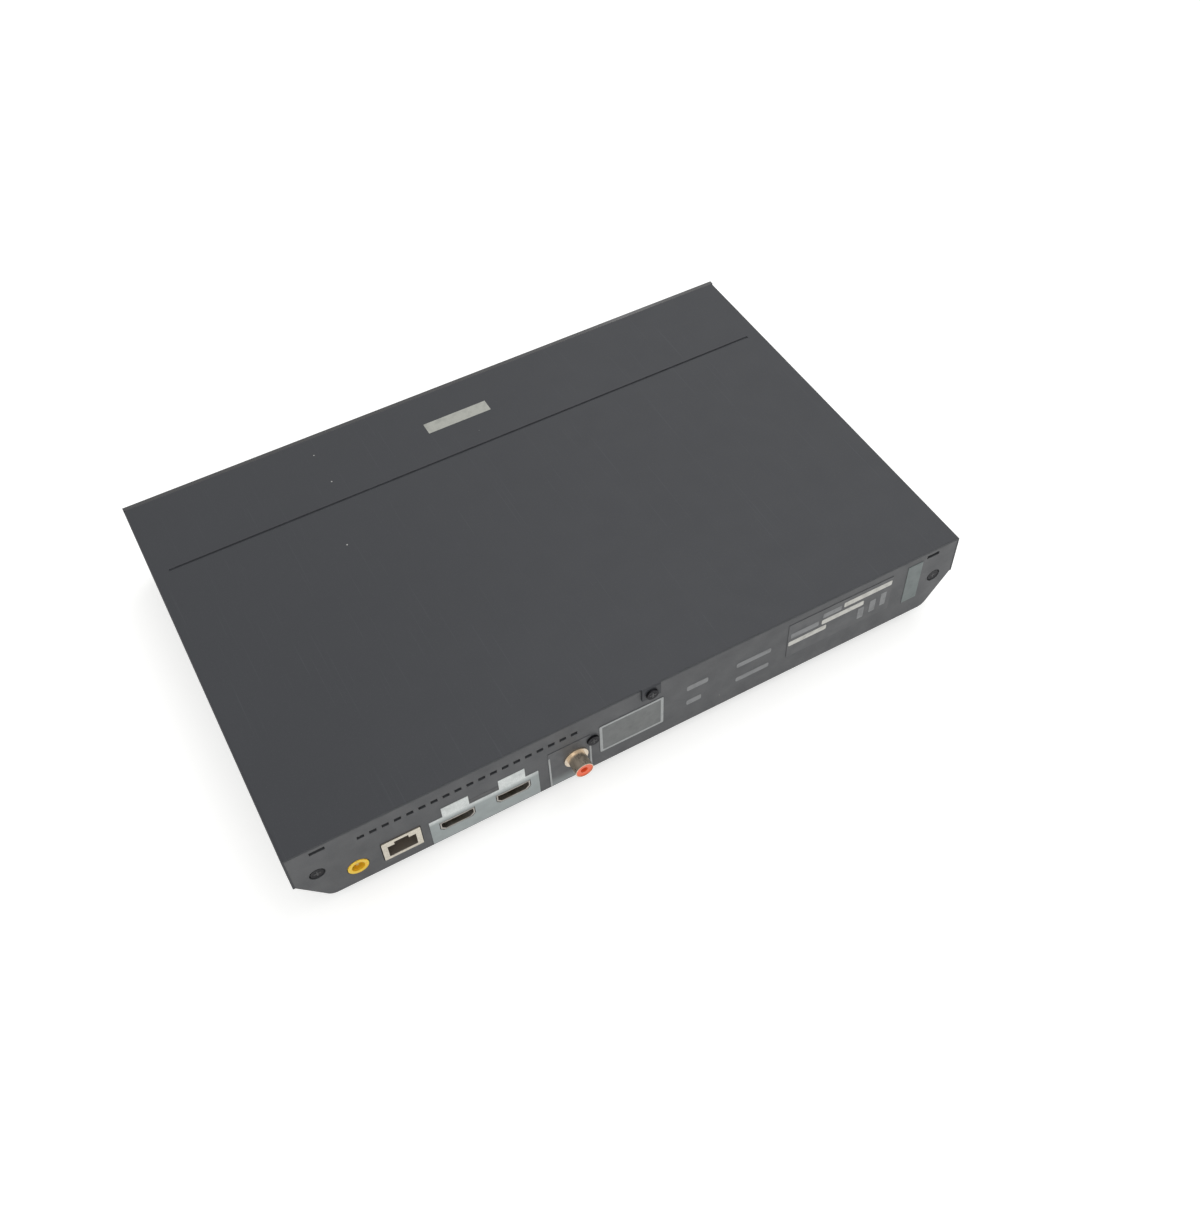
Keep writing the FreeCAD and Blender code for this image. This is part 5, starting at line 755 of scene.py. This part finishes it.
def mark_screw_heads():
    """Show the cross recess in the heads of the rear screws as a thin black cross laid on each
    head: painted shade for the recess.
    """
    recess_shade = FINISHES["socket_black"]
    for name, (seat, places) in SCREW_SEATS.items():
        shapes = [cross(u, v, CROSS_ARM, CROSS_WIDE) for u, v in places]
        place = rear_face((REAR + seat + HEAD_TALL) * MM)
        plates(f"screw_cross_{name}", shapes, INK, place, recess_shade)


def arc(u, v, radius, start, end, steps=18):
    """Give points on an arc, from a start to an end in degrees."""
    angles = [math.radians(start + (end - start) * step / steps) for step in range(steps + 1)]
    return [(u + radius * math.cos(angle), v + radius * math.sin(angle)) for angle in angles]


def power_sign(u, v):
    """Outline an open ring with a tick in its gap."""
    start, end = RING_TURN
    ring = arc(u, v, SIGN_HALF, start, end) + arc(u, v, RING_INSIDE, end, start)
    low, high = TICK_LEVELS
    return [ring, rounded(u - TICK_HALF, u + TICK_HALF, v + low, v + high)]


def eject_sign(u, v):
    """Outline an arrow head over a dash."""
    base, tip = ARROW_LEVELS
    low, high = DASH_LEVELS
    arrow = [(u - SIGN_HALF, v + base), (u + SIGN_HALF, v + base), (u, v + tip)]
    return [arrow, rounded(u - SIGN_HALF, u + SIGN_HALF, v + low, v + high)]


def mark_buttons():
    """Print the plain power and eject signs on the two buttons."""
    for node, sign in (("power_button", power_sign), ("eject_button", eject_sign)):
        low, high = corners_of(node)
        shapes = sign((low[X] + high[X]) / 2, (low[Z] + high[Z]) / 2)
        plates(f"{node}_sign", shapes, SIGN_THICK, front_face(low[Y] * MM),
               PRINT_ICONS, body=node)


# Stage

def seen_ray(tree):
    """Give 1 for camera, glossy and transmission rays."""
    path = tree.nodes.new("ShaderNodeLightPath")
    total = path.outputs["Is Camera Ray"]
    for name in ("Is Glossy Ray", "Is Transmission Ray"):
        larger = tree.nodes.new("ShaderNodeMath")
        larger.operation = "MAXIMUM"
        tree.links.new(total, larger.inputs[0])
        tree.links.new(path.outputs[name], larger.inputs[1])
        total = larger.outputs[0]
    return total


def studio_material():
    """White to the camera and in reflections, with its shadow kept, and clear from below."""
    material = bpy.data.materials.new("studio_floor")
    material.use_nodes = True
    tree = material.node_tree
    tree.nodes.clear()
    seen = seen_ray(tree)
    diffuse = tree.nodes.new("ShaderNodeBsdfDiffuse")
    diffuse.inputs["Color"].default_value = (*FLOOR_COLOUR, 1)
    glow = tree.nodes.new("ShaderNodeEmission")
    glow.inputs["Color"].default_value = (*BACKDROP, 1)
    level = tree.nodes.new("ShaderNodeMath")
    level.operation = "MULTIPLY"
    level.inputs[1].default_value = FLOOR_GLOW
    tree.links.new(seen, level.inputs[0])
    tree.links.new(level.outputs[0], glow.inputs["Strength"])
    both = tree.nodes.new("ShaderNodeAddShader")
    tree.links.new(diffuse.outputs[0], both.inputs[0])
    tree.links.new(glow.outputs[0], both.inputs[1])
    below = tree.nodes.new("ShaderNodeMixShader")
    tree.links.new(tree.nodes.new("ShaderNodeNewGeometry").outputs["Backfacing"], below.inputs[0])
    tree.links.new(both.outputs[0], below.inputs[1])
    tree.links.new(tree.nodes.new("ShaderNodeBsdfTransparent").outputs[0], below.inputs[2])
    output = tree.nodes.new("ShaderNodeOutputMaterial")
    tree.links.new(below.outputs[0], output.inputs["Surface"])
    return material


def set_world():
    """Light the scene evenly, and show plain white behind it."""
    world = bpy.data.worlds.new("studio")
    bpy.context.scene.world = world
    world.use_nodes = True
    tree = world.node_tree
    background = tree.nodes["Background"]
    background.inputs["Color"].default_value = (*BACKDROP, 1)
    level = tree.nodes.new("ShaderNodeMapRange")
    level.inputs["To Min"].default_value = WORLD_LIGHT
    level.inputs["To Max"].default_value = 1.0
    tree.links.new(seen_ray(tree), level.inputs["Value"])
    tree.links.new(level.outputs[0], background.inputs["Strength"])


def add_floor():
    """Lay a wide pale floor under the part."""
    half = FLOOR_SIZE / 2 * MM
    mesh = bpy.data.meshes.new("floor")
    corners = [(-half, -half), (half, -half), (half, half), (-half, half)]
    mesh.from_pydata([(x, y, -FLOOR_DROP * MM) for x, y in corners], [], [(0, 1, 2, 3)])
    mesh.materials.append(studio_material())
    floor = bpy.data.objects.new("floor", mesh)
    bpy.context.collection.objects.link(floor)


def add_lamp(name, place, size, power):
    """Hang a soft square lamp that faces the part."""
    lamp = bpy.data.lights.new(name, "AREA")
    lamp.size = size * MM
    lamp.energy = power
    holder = bpy.data.objects.new(name, lamp)
    holder.location = Vector(place) * MM
    holder.rotation_euler = (-holder.location).to_track_quat("-Z", "Y").to_euler()
    bpy.context.collection.objects.link(holder)


def add_camera():
    """Stand the camera where the photograph was taken from."""
    lens = bpy.data.cameras.new("camera")
    lens.lens = CAMERA_LENS
    lens.sensor_width = SENSOR
    lens.clip_start = CLIP_START * MM
    camera = bpy.data.objects.new("camera", lens)
    camera.location = Vector(CAMERA_PLACE) * MM
    camera.rotation_euler = [math.radians(angle) for angle in CAMERA_TURN]
    bpy.context.collection.objects.link(camera)
    bpy.context.scene.camera = camera


dress_nodes()
dress_network_jack()
dress_video_sockets()
dress_usb_socket()
print_rear()
mark_screw_heads()
mark_buttons()
set_world()
add_floor()
add_lamp("key_lamp", KEY_PLACE, KEY_SIZE, KEY_POWER)
add_lamp("fill_lamp", FILL_PLACE, FILL_SIZE, FILL_POWER)
add_camera()
bpy.context.scene.view_settings.view_transform = "Standard"
